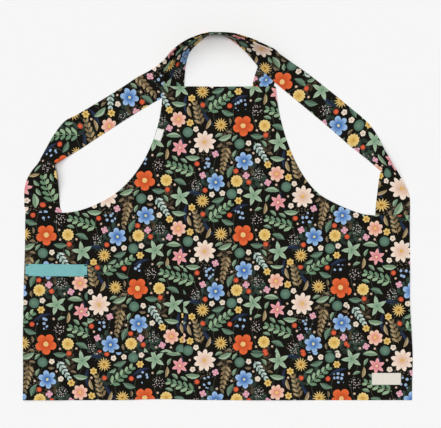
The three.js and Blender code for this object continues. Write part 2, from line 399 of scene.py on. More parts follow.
@dataclass(frozen=True)
class FloralPrint:
    """A dense meadow print on near-black, of simple flowers, leaves, buds and dotted sprays.

    The motifs of one repeat are strewn by rule from a fixed start: the undergrowth anywhere, and then about
    the largest first, each in the emptiest of many places tried, measured across the repeat's edges.
    A motif with less than least_gap around it is left out. wobble is how far slow noise shifts the motifs'
    edges, and wobble_size is how far apart its swings are. The stems stand stem_spacing apart, and each
    swings by stem_swing once in every stem_wave.
    """

    stem: str = "#3d4034"
    wobble: float = 1.5
    wobble_size: float = 9.0
    repeat: tuple[float, float] = (236.0, 262.0)
    start: int = 8
    tries: int = 1500
    least_gap: float = 0.6
    stem_spacing: float = 47.2
    stem_swing: float = 9.0
    stem_wave: float = 131.0
    stem_width: float = 1.3
    drawing: MotifDrawing = MotifDrawing()
    families: tuple[MotifFamily, ...] = (
        MotifFamily(Motif.SPRIG, 4, 42.0, ("#27332b", "#33443a", "#27332b"), under=True),
        MotifFamily(Motif.SPRIG, 3, 34.0, ("#3d3327", "#4d4231", "#3d3327"), under=True),
        MotifFamily(Motif.LEAF, 5, 24.0, ("#1f283c", "#2b3854", "#1f283c"), girth=0.16, under=True),
        MotifFamily(Motif.SPRAY, 4, 24.0, ("#6d6354",) * 3, point=0.14, girth=0.2, under=True),
        MotifFamily(Motif.FLOWER, 1, 27.0, ("#d9ae66", "#dcb8a2", "#efdfcf"), 9, 0.36, 1.5, 0.17),
        MotifFamily(Motif.FLOWER, 2, 26.0, ("#5f8062", "#7c9a7d", "#a6bca0"), 5, 0.72, 0.8, 0.07),
        MotifFamily(Motif.FLOWER, 1, 25.0, ("#e6bd7c", "#c04a20", "#e2683a"), 5, 0.34, 2.4, 0.24),
        MotifFamily(Motif.FLOWER, 2, 22.0, ("#cfcc98", "#3b69ab", "#9dbee0"), 6, 0.4, 2.0, 0.15),
        MotifFamily(Motif.SPRIG, 2, 36.0, ("#67876a", "#90ab88", "#5c7a63")),
        MotifFamily(Motif.FLOWER, 1, 19.0, ("#e0bc6c", "#d98a72", "#ecc7b2"), 7, 0.3, 1.8, 0.2),
        MotifFamily(Motif.FLOWER, 1, 20.0, ("#e9cd98", "#cf7a80", "#eaaaa9"), 6, 0.55, 1.0, 0.14),
        MotifFamily(Motif.SPRIG, 1, 26.0, ("#a3bab0", "#bccdc4", "#b0c4b9")),
        MotifFamily(Motif.SPRIG, 2, 29.0, ("#7f6b4d", "#a38d68", "#8f7954")),
        MotifFamily(Motif.FLOWER, 2, 17.5, ("#a07530", "#cda250", "#e2c27c"), 14, 0.62, 0.8, 0.18),
        MotifFamily(Motif.FLOWER, 2, 14.5, ("#cb9f4c", "#d3ad59", "#e6ca86"), 12, 0.14, 1.5, 0.3),
        MotifFamily(Motif.SPRAY, 2, 18.0, ("#94aecb",) * 3, point=0.085, girth=0.3),
        MotifFamily(Motif.SPRAY, 3, 17.0, ("#bfb1ad",) * 3, point=0.17, girth=0.22),
        MotifFamily(Motif.BUD, 3, 12.0, ("#62806d", "#4c6a5b", "#4c6a5b")),
        MotifFamily(Motif.LEAF, 4, 18.0, ("#789176", "#a0b699", "#5f7c5e"), girth=0.34),
        MotifFamily(Motif.LEAF, 5, 16.0, ("#465f50", "#5c7966", "#7c977d"), girth=0.4),
        MotifFamily(Motif.LEAF, 3, 14.0, ("#97835f", "#b8a27b", "#7d6d50"), girth=0.3),
        MotifFamily(Motif.FLOWER, 4, 8.5, ("#e6d0a0", "#cb839a", "#e3afbf"), 4, 0.42, 2.0, 0.2),
        MotifFamily(Motif.FLOWER, 4, 9.0, ("#ab8236", "#d3ad59", "#e0c178"), 6, 0.34, 1.8, 0.3),
        MotifFamily(Motif.FLOWER, 7, 6.8, ("#bf9d86", "#d9cab5", "#e9dccb"), 5, 0.2, 2.0, 0.26),
        MotifFamily(Motif.BUD, 7, 6.0, ("#d9653f", "#ba4630", "#ba4630")),
        MotifFamily(Motif.LEAF, 10, 10.0, ("#6a866e", "#94ab8d", "#567059"), girth=0.38),
        MotifFamily(Motif.LEAF, 8, 8.0, ("#6e604a", "#8b7b60", "#5c503e"), girth=0.4),
        MotifFamily(Motif.BUD, 12, 2.8, ("#d3bda9", "#b99d88", "#b99d88")),
    )

    def strewn(self) -> list[PlacedMotif]:
        """Finds the place of every motif in the repeat.

        Returns:
            The motifs that found room, in the order in which they are painted.
        """
        draws = np.random.default_rng(self.start)
        size = np.array(self.repeat)
        taken = np.zeros((0, 3))
        placed = []
        for family in self.families:
            room = np.array(MOTIF_ROOM[family.kind]) * family.reach
            for _ in range(family.count):
                middle = draws.random((self.tries, 2)) * size
                turn = draws.random(self.tries) * 2 * math.pi
                axis = np.stack([np.cos(turn), np.sin(turn)], axis=1)
                spots = middle[:, None, :] + room[None, :, :1] * axis[:, None, :]
                apart = spots[:, :, None, :] - taken[None, None, :, :2]
                apart -= np.round(apart[..., :1] / size[0]) * self.column_step()
                apart[..., 1] -= size[1] * np.round(apart[..., 1] / size[1])
                gaps = np.linalg.norm(apart, axis=3) - taken[:, 2] - room[:, 1][:, None]
                clear = gaps.reshape(self.tries, -1).min(1, initial=size.min())
                best = 0 if family.under else int(np.argmax(clear))
                if clear[best] < self.least_gap:
                    continue
                if not family.under:
                    taken = np.vstack([taken, np.column_stack([spots[best], room[:, 1]])])
                placed.append(PlacedMotif(family, *middle[best].tolist(), float(turn[best])))
        return placed

    def column_step(self) -> np.ndarray:
        """The step from one column of repeats to the next, which drops by half a repeat."""
        return np.array([self.repeat[0], self.repeat[1] / 2])

    def motif_tree(self, kind: Motif) -> bpy.types.NodeTree:
        """Starts the node group of one kind of motif, with the sockets that every kind has.

        Args:
            kind: The kind of motif.

        Returns:
            The empty group.
        """
        tree = bpy.data.node_groups.new(f"print_{kind.value}", "ShaderNodeTree")
        sockets = {
            "Under": "NodeSocketColor",
            "Levelled": "NodeSocketVector",
            "Middle": "NodeSocketVector",
            "Along": "NodeSocketVector",
            "Across": "NodeSocketVector",
            "Heart tone": "NodeSocketColor",
            "Deep tone": "NodeSocketColor",
            "Light tone": "NodeSocketColor",
            "Petals per radian": "NodeSocketFloat",
            "Notch": "NodeSocketFloat",
            "Point": "NodeSocketFloat",
            "Heart": "NodeSocketFloat",
            "Girth": "NodeSocketFloat",
            "Dots": "NodeSocketFloat",
        }
        for name, socket in sockets.items():
            tree.interface.new_socket(name, in_out="INPUT", socket_type=socket)
        tree.interface.new_socket("Colour", in_out="OUTPUT", socket_type="NodeSocketColor")
        return tree

    def motif_group(self, kind: Motif) -> bpy.types.NodeTree:
        """Makes the node group that paints one kind of motif over the colour under it.

        The levelled place, in which all columns of repeats stand at one height, is wrapped about the motif's
        middle. Its x and y are read along the motif's own axes, in shares of its reach. Each kind then says
        which places are inside and what tone they have. No node here clamps its result or changes a socket's
        type, because the nodes that this would add behind all others fill the shader's stack. A mix clamps
        its own factor.

        Args:
            kind: The kind of motif.

        Returns:
            The group.
        """
        tree = self.motif_tree(kind)
        given = tree.nodes.new("NodeGroupInput").outputs
        half = (self.repeat[0] / 2, self.repeat[1] / 2, 1.0)
        low = tuple(-side for side in half)
        apart = add_node(tree, VECTOR, {0: given["Levelled"], 1: given["Middle"]}, operation="SUBTRACT")
        near = add_node(tree, VECTOR, {0: apart, 1: half, 2: low}, operation="WRAP")
        x = add_node(tree, VECTOR, {0: near, 1: given["Along"]}, "Value", operation="DOT_PRODUCT")
        y = add_node(tree, VECTOR, {0: near, 1: given["Across"]}, "Value", operation="DOT_PRODUCT")
        painters = {
            Motif.FLOWER: self.paint_flower,
            Motif.LEAF: self.paint_leaf,
            Motif.SPRIG: self.paint_sprig,
            Motif.BUD: self.paint_bud,
            Motif.SPRAY: self.paint_spray,
        }
        inside, tone = painters[kind](tree, given, x, y)
        mixed = {MIX_FACTOR: inside, MIX_A: given["Under"], MIX_B: tone}
        colour = add_node(tree, MIX, mixed, MIX_RESULT, data_type="RGBA")
        tree.links.new(colour, tree.nodes.new("NodeGroupOutput").inputs["Colour"])
        return tree

    def radius(self, tree: bpy.types.NodeTree, x: Socket, y: Socket) -> Socket:
        """The distance from a motif's middle, by the root of the squares' sum.

        Args:
            tree: The group being made.
            x: The place along the motif's axis.
            y: The place across it.

        Returns:
            The distance.
        """
        square = add_node(tree, MATH, {0: x, 1: x}, operation="MULTIPLY")
        squares = add_node(tree, MATH, {0: y, 1: y, 2: square}, operation="MULTIPLY_ADD")
        return add_node(tree, MATH, {0: squares, 1: 0.5}, operation="POWER")

    def paint_flower(
        self, tree: bpy.types.NodeTree, given: Sockets, x: Socket, y: Socket
    ) -> tuple[Socket, Socket]:
        """A flower: its edge lies at 1 less the notch times a power of c.

        c is 0 on a petal's axis and 1 half way between two petals. The tone runs from deep near the heart to
        light at the tips, and back to deep along the veins and the seams between the petals.

        Args:
            tree: The group being made.
            given: The group's inputs.
            x: The place along the flower's axis.
            y: The place across it.

        Returns:
            Whether a place is inside, and its tone.
        """
        reach = self.radius(tree, x, y)
        angle = add_node(tree, MATH, {0: y, 1: x}, operation="ARCTAN2")
        cell = add_node(tree, MATH, {0: angle, 1: given["Petals per radian"]}, operation="MULTIPLY")
        wave = add_node(tree, MATH, {0: cell, 1: 0.5}, operation="PINGPONG")
        between = add_node(tree, MATH, {0: wave, 1: 2.0}, operation="MULTIPLY")
        fall = add_node(tree, MATH, {0: between, 1: given["Point"]}, operation="POWER")
        edge = add_node(tree, MATH, {0: fall, 1: given["Notch"], 2: 1.0}, operation="MULTIPLY_ADD")
        share = add_node(tree, MATH, {0: reach, 1: edge}, operation="DIVIDE")
        draw = self.drawing
        inputs = {0: share, 1: draw.petal_blush.slope, 2: draw.petal_blush.start}
        outward = add_node(tree, MATH, inputs, operation="MULTIPLY_ADD")
        mixed = {MIX_FACTOR: outward, MIX_A: given["Deep tone"], MIX_B: given["Light tone"]}
        petal = add_node(tree, MIX, mixed, MIX_RESULT, data_type="RGBA")
        inputs = {0: between, 1: draw.petal_seam.slope, 2: draw.petal_seam.start}
        seam = add_node(tree, MATH, inputs, operation="MULTIPLY_ADD")
        veins = add_node(tree, MATH, {0: cell, 1: draw.petal_veins}, operation="MULTIPLY")
        beside = add_node(tree, MATH, {0: veins, 1: 0.5}, operation="PINGPONG")
        inputs = {0: beside, 1: draw.petal_vein.slope, 2: draw.petal_vein.start}
        vein = add_node(tree, MATH, inputs, operation="MULTIPLY_ADD")
        shade = add_node(tree, MATH, {0: seam, 1: vein}, operation="MAXIMUM")
        mixed = {MIX_FACTOR: shade, MIX_A: petal, MIX_B: given["Deep tone"]}
        seamed = add_node(tree, MIX, mixed, MIX_RESULT, data_type="RGBA")
        eye = add_node(tree, MATH, {0: reach, 1: given["Heart"]}, operation="LESS_THAN")
        mixed = {MIX_FACTOR: eye, MIX_A: seamed, MIX_B: given["Heart tone"]}
        tone = add_node(tree, MIX, mixed, MIX_RESULT, data_type="RGBA")
        return add_node(tree, MATH, {0: share, 1: 1.0}, operation="LESS_THAN"), tone

    def paint_leaf(
        self, tree: bpy.types.NodeTree, given: Sockets, x: Socket, y: Socket
    ) -> tuple[Socket, Socket]:
        """An almond leaf: its half width is the girth times 1 - x^2, about a midrib bent by a share of x^2.

        Slanted veins run from the midrib to the edge.

        Args:
            tree: The group being made.
            given: The group's inputs.
            x: The place along the leaf.
            y: The place across it.

        Returns:
            Whether a place is inside, and its tone.
        """
        draw = self.drawing
        square = add_node(tree, MATH, {0: x, 1: x}, operation="MULTIPLY")
        bent = add_node(tree, MATH, {0: square, 1: draw.leaf_bend, 2: y}, operation="MULTIPLY_ADD")
        off = add_node(tree, MATH, {0: bent}, operation="ABSOLUTE")
        taper = add_node(tree, MATH, {0: 1.0, 1: square}, operation="SUBTRACT")
        half = add_node(tree, MATH, {0: taper, 1: given["Girth"]}, operation="MULTIPLY")
        inside = add_node(tree, MATH, {0: off, 1: half}, operation="LESS_THAN")
        upper = add_node(tree, MATH, {0: bent, 1: 0.0}, operation="GREATER_THAN")
        mixed = {MIX_FACTOR: upper, MIX_A: given["Heart tone"], MIX_B: given["Deep tone"]}
        blade = add_node(tree, MIX, mixed, MIX_RESULT, data_type="RGBA")
        rib = add_node(tree, MATH, {0: off, 1: draw.leaf_rib}, operation="LESS_THAN")
        slant = add_node(tree, MATH, {0: off, 1: -draw.leaf_slant, 2: x}, operation="MULTIPLY_ADD")
        rows = add_node(tree, MATH, {0: slant, 1: draw.leaf_veins}, operation="MULTIPLY")
        beside = add_node(tree, MATH, {0: rows, 1: 0.5}, operation="PINGPONG")
        inputs = {0: beside, 1: draw.leaf_vein.slope, 2: draw.leaf_vein.start}
        vein = add_node(tree, MATH, inputs, operation="MULTIPLY_ADD")
        lined = add_node(tree, MATH, {0: rib, 1: vein}, operation="MAXIMUM")
        mixed = {MIX_FACTOR: lined, MIX_A: blade, MIX_B: given["Light tone"]}
        return inside, add_node(tree, MIX, mixed, MIX_RESULT, data_type="RGBA")

    def paint_sprig(
        self, tree: bpy.types.NodeTree, given: Sockets, x: Socket, y: Socket
    ) -> tuple[Socket, Socket]:
        """A sprig: slanted pairs of leaves on a stem, each as thick as s(1 - s), s running from stem to tip.

        Args:
            tree: The group being made.
            given: The group's inputs.
            x: The place along the stem.
            y: The place across it.

        Returns:
            Whether a place is inside, and its tone.
        """
        draw = self.drawing
        off = add_node(tree, MATH, {0: y}, operation="ABSOLUTE")
        inputs = {0: x, 1: draw.sprig_leaf.slope, 2: draw.sprig_leaf.start}
        length = add_node(tree, MATH, inputs, operation="MULTIPLY_ADD")
        share = add_node(tree, MATH, {0: off, 1: length}, operation="DIVIDE")
        rest = add_node(tree, MATH, {0: 1.0, 1: share}, operation="SUBTRACT")
        bulge = add_node(tree, MATH, {0: share, 1: rest}, operation="MULTIPLY")
        thick = add_node(tree, MATH, {0: bulge, 1: draw.sprig_bulge}, operation="MULTIPLY")
        slant = add_node(tree, MATH, {0: off, 1: -draw.sprig_slant, 2: x}, operation="MULTIPLY_ADD")
        pair = add_node(tree, MATH, {0: slant, 1: draw.sprig_pairs}, operation="MULTIPLY")
        aside = add_node(tree, MATH, {0: pair, 1: 0.5}, operation="PINGPONG")
        leaf = add_node(tree, MATH, {0: aside, 1: thick}, operation="LESS_THAN")
        stem = add_node(tree, MATH, {0: off, 1: draw.sprig_stem}, operation="LESS_THAN")
        either = add_node(tree, MATH, {0: leaf, 1: stem}, operation="MAXIMUM")
        ahead = add_node(tree, MATH, {0: slant}, operation="ABSOLUTE")
        along = add_node(tree, MATH, {0: ahead, 1: draw.sprig_end}, operation="LESS_THAN")
        inside = add_node(tree, MATH, {0: either, 1: along}, operation="MULTIPLY")
        upper = add_node(tree, MATH, {0: y, 1: 0.0}, operation="GREATER_THAN")
        mixed = {MIX_FACTOR: upper, MIX_A: given["Heart tone"], MIX_B: given["Deep tone"]}
        return inside, add_node(tree, MIX, mixed, MIX_RESULT, data_type="RGBA")

    def paint_bud(
        self, tree: bpy.types.NodeTree, given: Sockets, x: Socket, y: Socket
    ) -> tuple[Socket, Socket]:
        """A round bud that darkens from its middle to its rim.

        Args:
            tree: The group being made.
            given: The group's inputs.
            x: The place along the bud's axis.
            y: The place across it.

        Returns:
            Whether a place is inside, and its tone.
        """
        reach = self.radius(tree, x, y)
        shade = self.drawing.bud_shade
        outward = add_node(tree, MATH, {0: reach, 1: shade.slope, 2: shade.start}, operation="MULTIPLY_ADD")
        mixed = {MIX_FACTOR: outward, MIX_A: given["Heart tone"], MIX_B: given["Deep tone"]}
        tone = add_node(tree, MIX, mixed, MIX_RESULT, data_type="RGBA")
        return add_node(tree, MATH, {0: reach, 1: 1.0}, operation="LESS_THAN"), tone

    def paint_spray(
        self, tree: bpy.types.NodeTree, given: Sockets, x: Socket, y: Socket
    ) -> tuple[Socket, Socket]:
        """A spray: dots about strewn middles, which shrink towards its rim.

        Args:
            tree: The group being made.
            given: The group's inputs.
            x: The place along the spray's axis.
            y: The place across it.

        Returns:
            Whether a place is inside, and its tone.
        """
        reach = self.radius(tree, x, y)
        fade = self.drawing.spray_fade
        left = add_node(tree, MATH, {0: reach, 1: fade.slope, 2: fade.start}, operation="MULTIPLY_ADD")
        full = add_node(tree, MATH, {0: left, 1: 1.0}, operation="MINIMUM")
        size = add_node(tree, MATH, {0: full, 1: given["Girth"]}, operation="MULTIPLY")
        dot = add_node(tree, MATH, {0: given["Dots"], 1: size}, operation="LESS_THAN")
        return dot, given["Heart tone"]

    def strewn_dots(self, tree: bpy.types.NodeTree, count: float) -> Socket:
        """The distance to the nearest middle of strewn dots, as a share of their spacing.

        It reads the cloth's map itself, because a place of another type would hold up the motifs.

        Args:
            tree: The material's tree.
            count: How many dots there are to a millimetre.

        Returns:
            The distance.
        """
        flat = add_node(tree, "ShaderNodeUVMap", {}, uv_map=CLOTH_MAP)
        inputs = {"Vector": flat, "Scale": count / MM, "Randomness": self.drawing.dot_scatter}
        return add_node(tree, "ShaderNodeTexVoronoi", inputs, "Distance", voronoi_dimensions="2D")

    def paint_ground(self, tree: bpy.types.NodeTree, place: Socket, ground: str) -> Socket:
        """The ground with thin stems, which swing from side to side as they climb.

        Args:
            tree: The material's tree.
            place: The place on the cloth, in millimetres.
            ground: The ground's own colour.

        Returns:
            The ground's colour.
        """
        x = add_node(tree, VECTOR, {0: place, 1: (1.0, 0.0, 0.0)}, "Value", operation="DOT_PRODUCT")
        y = add_node(tree, VECTOR, {0: place, 1: (0.0, 1.0, 0.0)}, "Value", operation="DOT_PRODUCT")
        climb = add_node(tree, MATH, {0: y, 1: 2 * math.pi / self.stem_wave}, operation="MULTIPLY")
        swing = add_node(tree, MATH, {0: climb}, operation="SINE")
        swung = add_node(tree, MATH, {0: swing, 1: self.stem_swing, 2: x}, operation="MULTIPLY_ADD")
        off = add_node(tree, MATH, {0: swung, 1: self.stem_spacing / 2}, operation="PINGPONG")
        stem = add_node(tree, MATH, {0: off, 1: self.stem_width / 2}, operation="LESS_THAN")
        mixed = {MIX_FACTOR: stem, MIX_A: linear(ground), MIX_B: linear(self.stem)}
        return add_node(tree, MIX, mixed, MIX_RESULT, data_type="RGBA")

    def hand_drawn(self, tree: bpy.types.NodeTree, place: Socket) -> Socket:
        """Shifts places a little by slow noise, so that edges look drawn by hand.

        Args:
            tree: The material's tree.
            place: The place on the cloth, in millimetres.

        Returns:
            The shifted place.
        """
        inputs = {"Vector": place, "Scale": 1 / self.wobble_size, "Detail": 1.0}
        noise = add_node(tree, "ShaderNodeTexNoise", inputs, "Color", noise_dimensions="2D")
        inputs = {0: noise, 1: (self.wobble, self.wobble, 0.0), 2: place}
        return add_node(tree, VECTOR, inputs, operation="MULTIPLY_ADD")

    def paint(self, tree: bpy.types.NodeTree, flat: Socket, ground: str) -> Socket:
        """Paints the whole print, each motif over what is under it.

        Args:
            tree: The material's tree.
            flat: The place on the cloth, in millimetres.
            ground: The ground's own colour.

        Returns:
            The print's colour.
        """
        groups = {kind: self.motif_group(kind) for kind in Motif}
        place = self.hand_drawn(tree, flat)
        colour = self.paint_ground(tree, place, ground)
        drop = self.column_step()[1] / self.column_step()[0]
        x = add_node(tree, VECTOR, {0: place, 1: (1.0, 0.0, 0.0)}, "Value", operation="DOT_PRODUCT")
        fall = add_node(tree, VECTOR, {0: (0.0, drop, 0.0), "Scale": x}, operation="SCALE")
        levelled = add_node(tree, VECTOR, {0: place, 1: fall}, operation="SUBTRACT")
        sprays = [family for family in self.families if family.kind is Motif.SPRAY]
        dots = {family: self.strewn_dots(tree, family.point) for family in sprays}
        motifs = self.strewn()
        for motif in motifs:
            family = motif.family
            cosine, sine = math.cos(motif.turn) / family.reach, math.sin(motif.turn) / family.reach
            inputs = {
                "Under": colour,
                "Levelled": levelled,
                "Middle": (motif.x, motif.y - drop * motif.x, 0.0),
                "Along": (cosine + drop * sine, sine, 0.0),
                "Across": (-sine + drop * cosine, cosine, 0.0),
                "Heart tone": linear(family.tones[0]),
                "Deep tone": linear(family.tones[1]),
                "Light tone": linear(family.tones[2]),
                "Petals per radian": family.petals / (2 * math.pi),
                "Notch": -family.notch,
                "Point": family.point,
                "Heart": family.heart,
                "Girth": family.girth,
            }
            if family in dots:
                inputs["Dots"] = dots[family]
            colour = add_node(tree, "ShaderNodeGroup", inputs, node_tree=groups[family.kind])
        LOG.info("print: %d motifs in a repeat", len(motifs))
        return colour


@dataclass(frozen=True)
class WovenCloth:
    """A matt woven cotton of one colour.

    thread is the spacing of its threads, drawn coarser than real ones so that they show in a close view.
    relief is the height of their crowns, and bump is how much of it the light sees. slub is how much
    lighter and darker the threads get along their length, weave_shade is how much painted shade darkens
    the gaps between them and painted light lightens their crowns, and stretch is how long a slub is for
    its thickness. crown_gloss is how much smoother the crowns are than the gaps.
    """

    name: str
    colour: str
    thread: float = 1.1
    relief: float = 0.12
    bump: float = 0.5
    slub: float = 0.22
    weave_shade: float = 0.07
    stretch: float = 9.0
    roughness: float = 0.88
    crown_gloss: float = 0.06
    specular: float = 0.2

    def dye(self, tree: bpy.types.NodeTree, place: Socket) -> Socket | tuple[float, ...]:
        """The colour of the threads: a plain one, or a link to a pattern."""
        return linear(self.colour)[:3]

    def weave(self, tree: bpy.types.NodeTree, place: Socket) -> Socket:
        """A plain weave's height from -1 to 1: the product of two waves at right angles.

        Args:
            tree: The material's tree.
            place: The place on the cloth, in millimetres.

        Returns:
            The height.
        """
        turns = add_node(tree, VECTOR, {0: place, "Scale": math.pi / self.thread}, operation="SCALE")
        waves = add_node(tree, VECTOR, {0: turns}, operation="SINE")
        warp = add_node(tree, VECTOR, {0: waves, 1: (1.0, 0.0, 0.0)}, "Value", operation="DOT_PRODUCT")
        weft = add_node(tree, VECTOR, {0: waves, 1: (0.0, 1.0, 0.0)}, "Value", operation="DOT_PRODUCT")
        return add_node(tree, MATH, {0: warp, 1: weft}, operation="MULTIPLY")

    def thread_level(self, tree: bpy.types.NodeTree, place: Socket, weave: Socket) -> Socket:
        """How light the cloth is at a place: 1, more or less by two sets of slubs, with painted shade in the
        weave's gaps and painted light on its crowns.

        A set of slubs is noise that is drawn out along one way of the threads.

        Args:
            tree: The material's tree.
            place: The place on the cloth, in millimetres.
            weave: The weave's height.

        Returns:
            The level.
        """
        fine, long = 1 / self.thread, 1 / (self.thread * self.stretch)
        noises = []
        for scale in ((long, fine, 0.0), (fine, long, 0.0)):
            drawn = add_node(tree, VECTOR, {0: place, 1: scale}, operation="MULTIPLY")
            inputs = {"Vector": drawn, "Scale": 1.0, "Detail": 1.0}
            noises.append(add_node(tree, "ShaderNodeTexNoise", inputs, noise_dimensions="2D"))
        both = add_node(tree, MATH, {0: noises[0], 1: noises[1]}, operation="ADD")
        inputs = {0: both, 1: 2 * self.slub, 2: 1 - 2 * self.slub}
        slubbed = add_node(tree, MATH, inputs, operation="MULTIPLY_ADD")
        # The weave's height times weave_shade adds painted shade in the gaps between the threads and painted
        # light on their crowns
        return add_node(tree, MATH, {0: weave, 1: self.weave_shade, 2: slubbed}, operation="MULTIPLY_ADD")

    def material(self) -> bpy.types.Material:
        """Makes the material: dyed threads with slubs and with painted shade and light from the weave, in a
        plain weave with slightly smoother crowns.

        Returns:
            The material.
        """
        made = bpy.data.materials.new(self.name)
        made.use_nodes = True
        tree = made.node_tree
        shader = tree.nodes["Principled BSDF"]
        flat = add_node(tree, "ShaderNodeUVMap", {}, uv_map=CLOTH_MAP)
        place = add_node(tree, VECTOR, {0: flat, "Scale": 1 / MM}, operation="SCALE")
        weave = self.weave(tree, place)
        level = self.thread_level(tree, place, weave)
        # The colour is scaled by the slubs and by the weave's painted shade and light
        colour = add_node(tree, VECTOR, {0: self.dye(tree, place), "Scale": level}, operation="SCALE")
        inputs = {0: weave, 1: -self.crown_gloss, 2: self.roughness}
        rough = add_node(tree, MATH, inputs, operation="MULTIPLY_ADD")
        inputs = {"Height": weave, "Strength": self.bump, "Distance": self.relief * MM}
        bump = add_node(tree, "ShaderNodeBump", inputs, "Normal")
        tree.links.new(colour, shader.inputs["Base Color"])
        tree.links.new(rough, shader.inputs["Roughness"])
        tree.links.new(bump, shader.inputs["Normal"])
        shader.inputs["Specular IOR Level"].default_value = self.specular
        return made


@dataclass(frozen=True)
class PrintedCanvas(WovenCloth):
    """Cotton canvas with the floral print, matt all over."""

    pattern: FloralPrint = FloralPrint()

    def dye(self, tree: bpy.types.NodeTree, place: Socket) -> Socket:
        """The print's colour at a place on the cloth."""
        return self.pattern.paint(tree, place, self.colour)


@dataclass(frozen=True)
class Stitching:
    """Rows of machine stitches in one thread: short rods that dip into the cloth at both ends."""

    thread: bpy.types.Material
    pitch: float = 3.6
    length: float = 2.8
    radius: float = 0.28

    def spaced(self, line: np.ndarray) -> np.ndarray:
        """Points along a line, one for each end of a stitch.

        Args:
            line: The line's corners, one a row.

        Returns:
            Evenly spaced points.
        """
        steps = np.linalg.norm(np.diff(line, axis=0), axis=1)
        along = np.concatenate([[0.0], np.cumsum(steps)])
        count = max(2, round(along[-1] / self.pitch) + 1)
        spots = np.linspace(0.0, along[-1], count)
        return np.stack([np.interp(spots, along, side) for side in line.T], axis=1)

    def build(
        self, name: str, paths: list[np.ndarray], normals: list[np.ndarray] | None = None
    ) -> bpy.types.Object:
        """Builds all the stitches of a piece as one object.

        Each stitch has three square rings, the end ones narrower, along the line from one point to the next.

        Args:
            name: The piece's name.
            paths: Evenly spaced points on the cloth, one path an array.
            normals: The cloth's facing at each point, or None where it faces up.

        Returns:
            The stitches.
        """
        if normals is None:
            normals = [np.tile([0.0, 0.0, 1.0], (len(path), 1)) for path in paths]
        start = np.concatenate([path[:-1] for path in paths])
        end = np.concatenate([path[1:] for path in paths])
        facing = np.concatenate([normal[:-1] + normal[1:] for normal in normals])
        ahead = end - start
        ahead /= np.linalg.norm(ahead, axis=1, keepdims=True)
        side = np.cross(facing, ahead)
        side /= np.linalg.norm(side, axis=1, keepdims=True)
        up = np.cross(ahead, side)
        rings, corners = np.array(STITCH_RINGS), np.array(STITCH_CORNERS)
        sides = len(corners)
        along = np.repeat(rings[:, 0] * self.length, sides)
        wide = np.outer(rings[:, 1], corners[:, 0]).ravel() * self.radius
        high = (np.outer(rings[:, 1], corners[:, 1]) + rings[:, 2:]).ravel() * self.radius
        forward = along[:, None] * ahead[:, None]
        aside = wide[:, None] * side[:, None]
        upward = high[:, None] * up[:, None]
        points = ((start + end) / 2)[:, None] + forward + aside + upward
        ring = np.arange(sides)
        beside = np.roll(ring, -1)
        belt = np.stack([ring, beside, beside + sides, ring + sides], axis=1)
        rod = np.concatenate([belt, belt + sides, ring[None, ::-1], ring[None] + 2 * sides])[:, ::-1]
        faces = (rod[None] + len(along) * np.arange(len(points))[:, None, None]).reshape(-1, sides)
        flat = points.reshape(-1, 3)
        return build_object(name, flat, [faces], flat[:, :2], self.thread)


class Armhole(NamedTuple):
    """A quarter ellipse from the bib's top corner to the skirt's corner, as the cloth lies.

    sway is how far the edge swings out above the middle of the curve, and in below it. fill is how far the
    cloth rises over the ellipse near the skirt's corner.
    """

    side: int
    bib: float
    outer: float
    corner: float
    sway: float
    fill: float

    def edge(self, top: float, turns: np.ndarray) -> np.ndarray:
        """The edge at turns that run from 0 at the bib's top to a right angle at the skirt's corner.

        The ellipse gets one full wave of sway over the quarter turn, and a bell of fill near its end.

        Args:
            top: The height of the bib's top.
            turns: Where to read the edge.

        Returns:
            Places in plan, one a row.
        """
        out = self.outer - (self.outer - self.bib) * np.cos(turns) + self.sway * np.sin(4 * turns)
        share = np.clip((turns - FILL_START) / FILL_SPAN, 0.0, 1.0)
        up = top - (top - self.corner) * np.sin(turns) + self.fill * np.sin(np.pi * share) ** 2
        return np.stack([self.side * out, up], axis=1)


class Lift(NamedTuple):
    """A place where the panel stands off the floor, falling to nothing at its reach."""

    x: float
    y: float
    reach_x: float
    reach_y: float
    height: float

    def at(self, x: np.ndarray, y: np.ndarray) -> np.ndarray:
        """The height that this lift gives at places in plan.

        Args:
            x: Places across the smock.
            y: Places up from the hem.

        Returns:
            One height for each place.
        """
        across = 1 - smooth_share(np.abs(x - self.x) / self.reach_x, LIFT_FLAT, 1.0)
        along = 1 - smooth_share(np.abs(y - self.y) / self.reach_y, LIFT_FLAT, 1.0)
        return self.height * across * along


class EdgeWave(NamedTuple):
    """A soft wave of the panel's edge in plan: its middle, its reach and how far it shifts the cloth."""

    x: float
    y: float
    reach: float
    shift: tuple[float, float]

    def at(self, places: np.ndarray) -> np.ndarray:
        """The shift of places in plan: a bell that fades with the distance from the wave's middle."""
        away = np.linalg.norm(places - [self.x, self.y], axis=1) / self.reach
        return np.exp(-(away**2))[:, None] * np.array(self.shift)


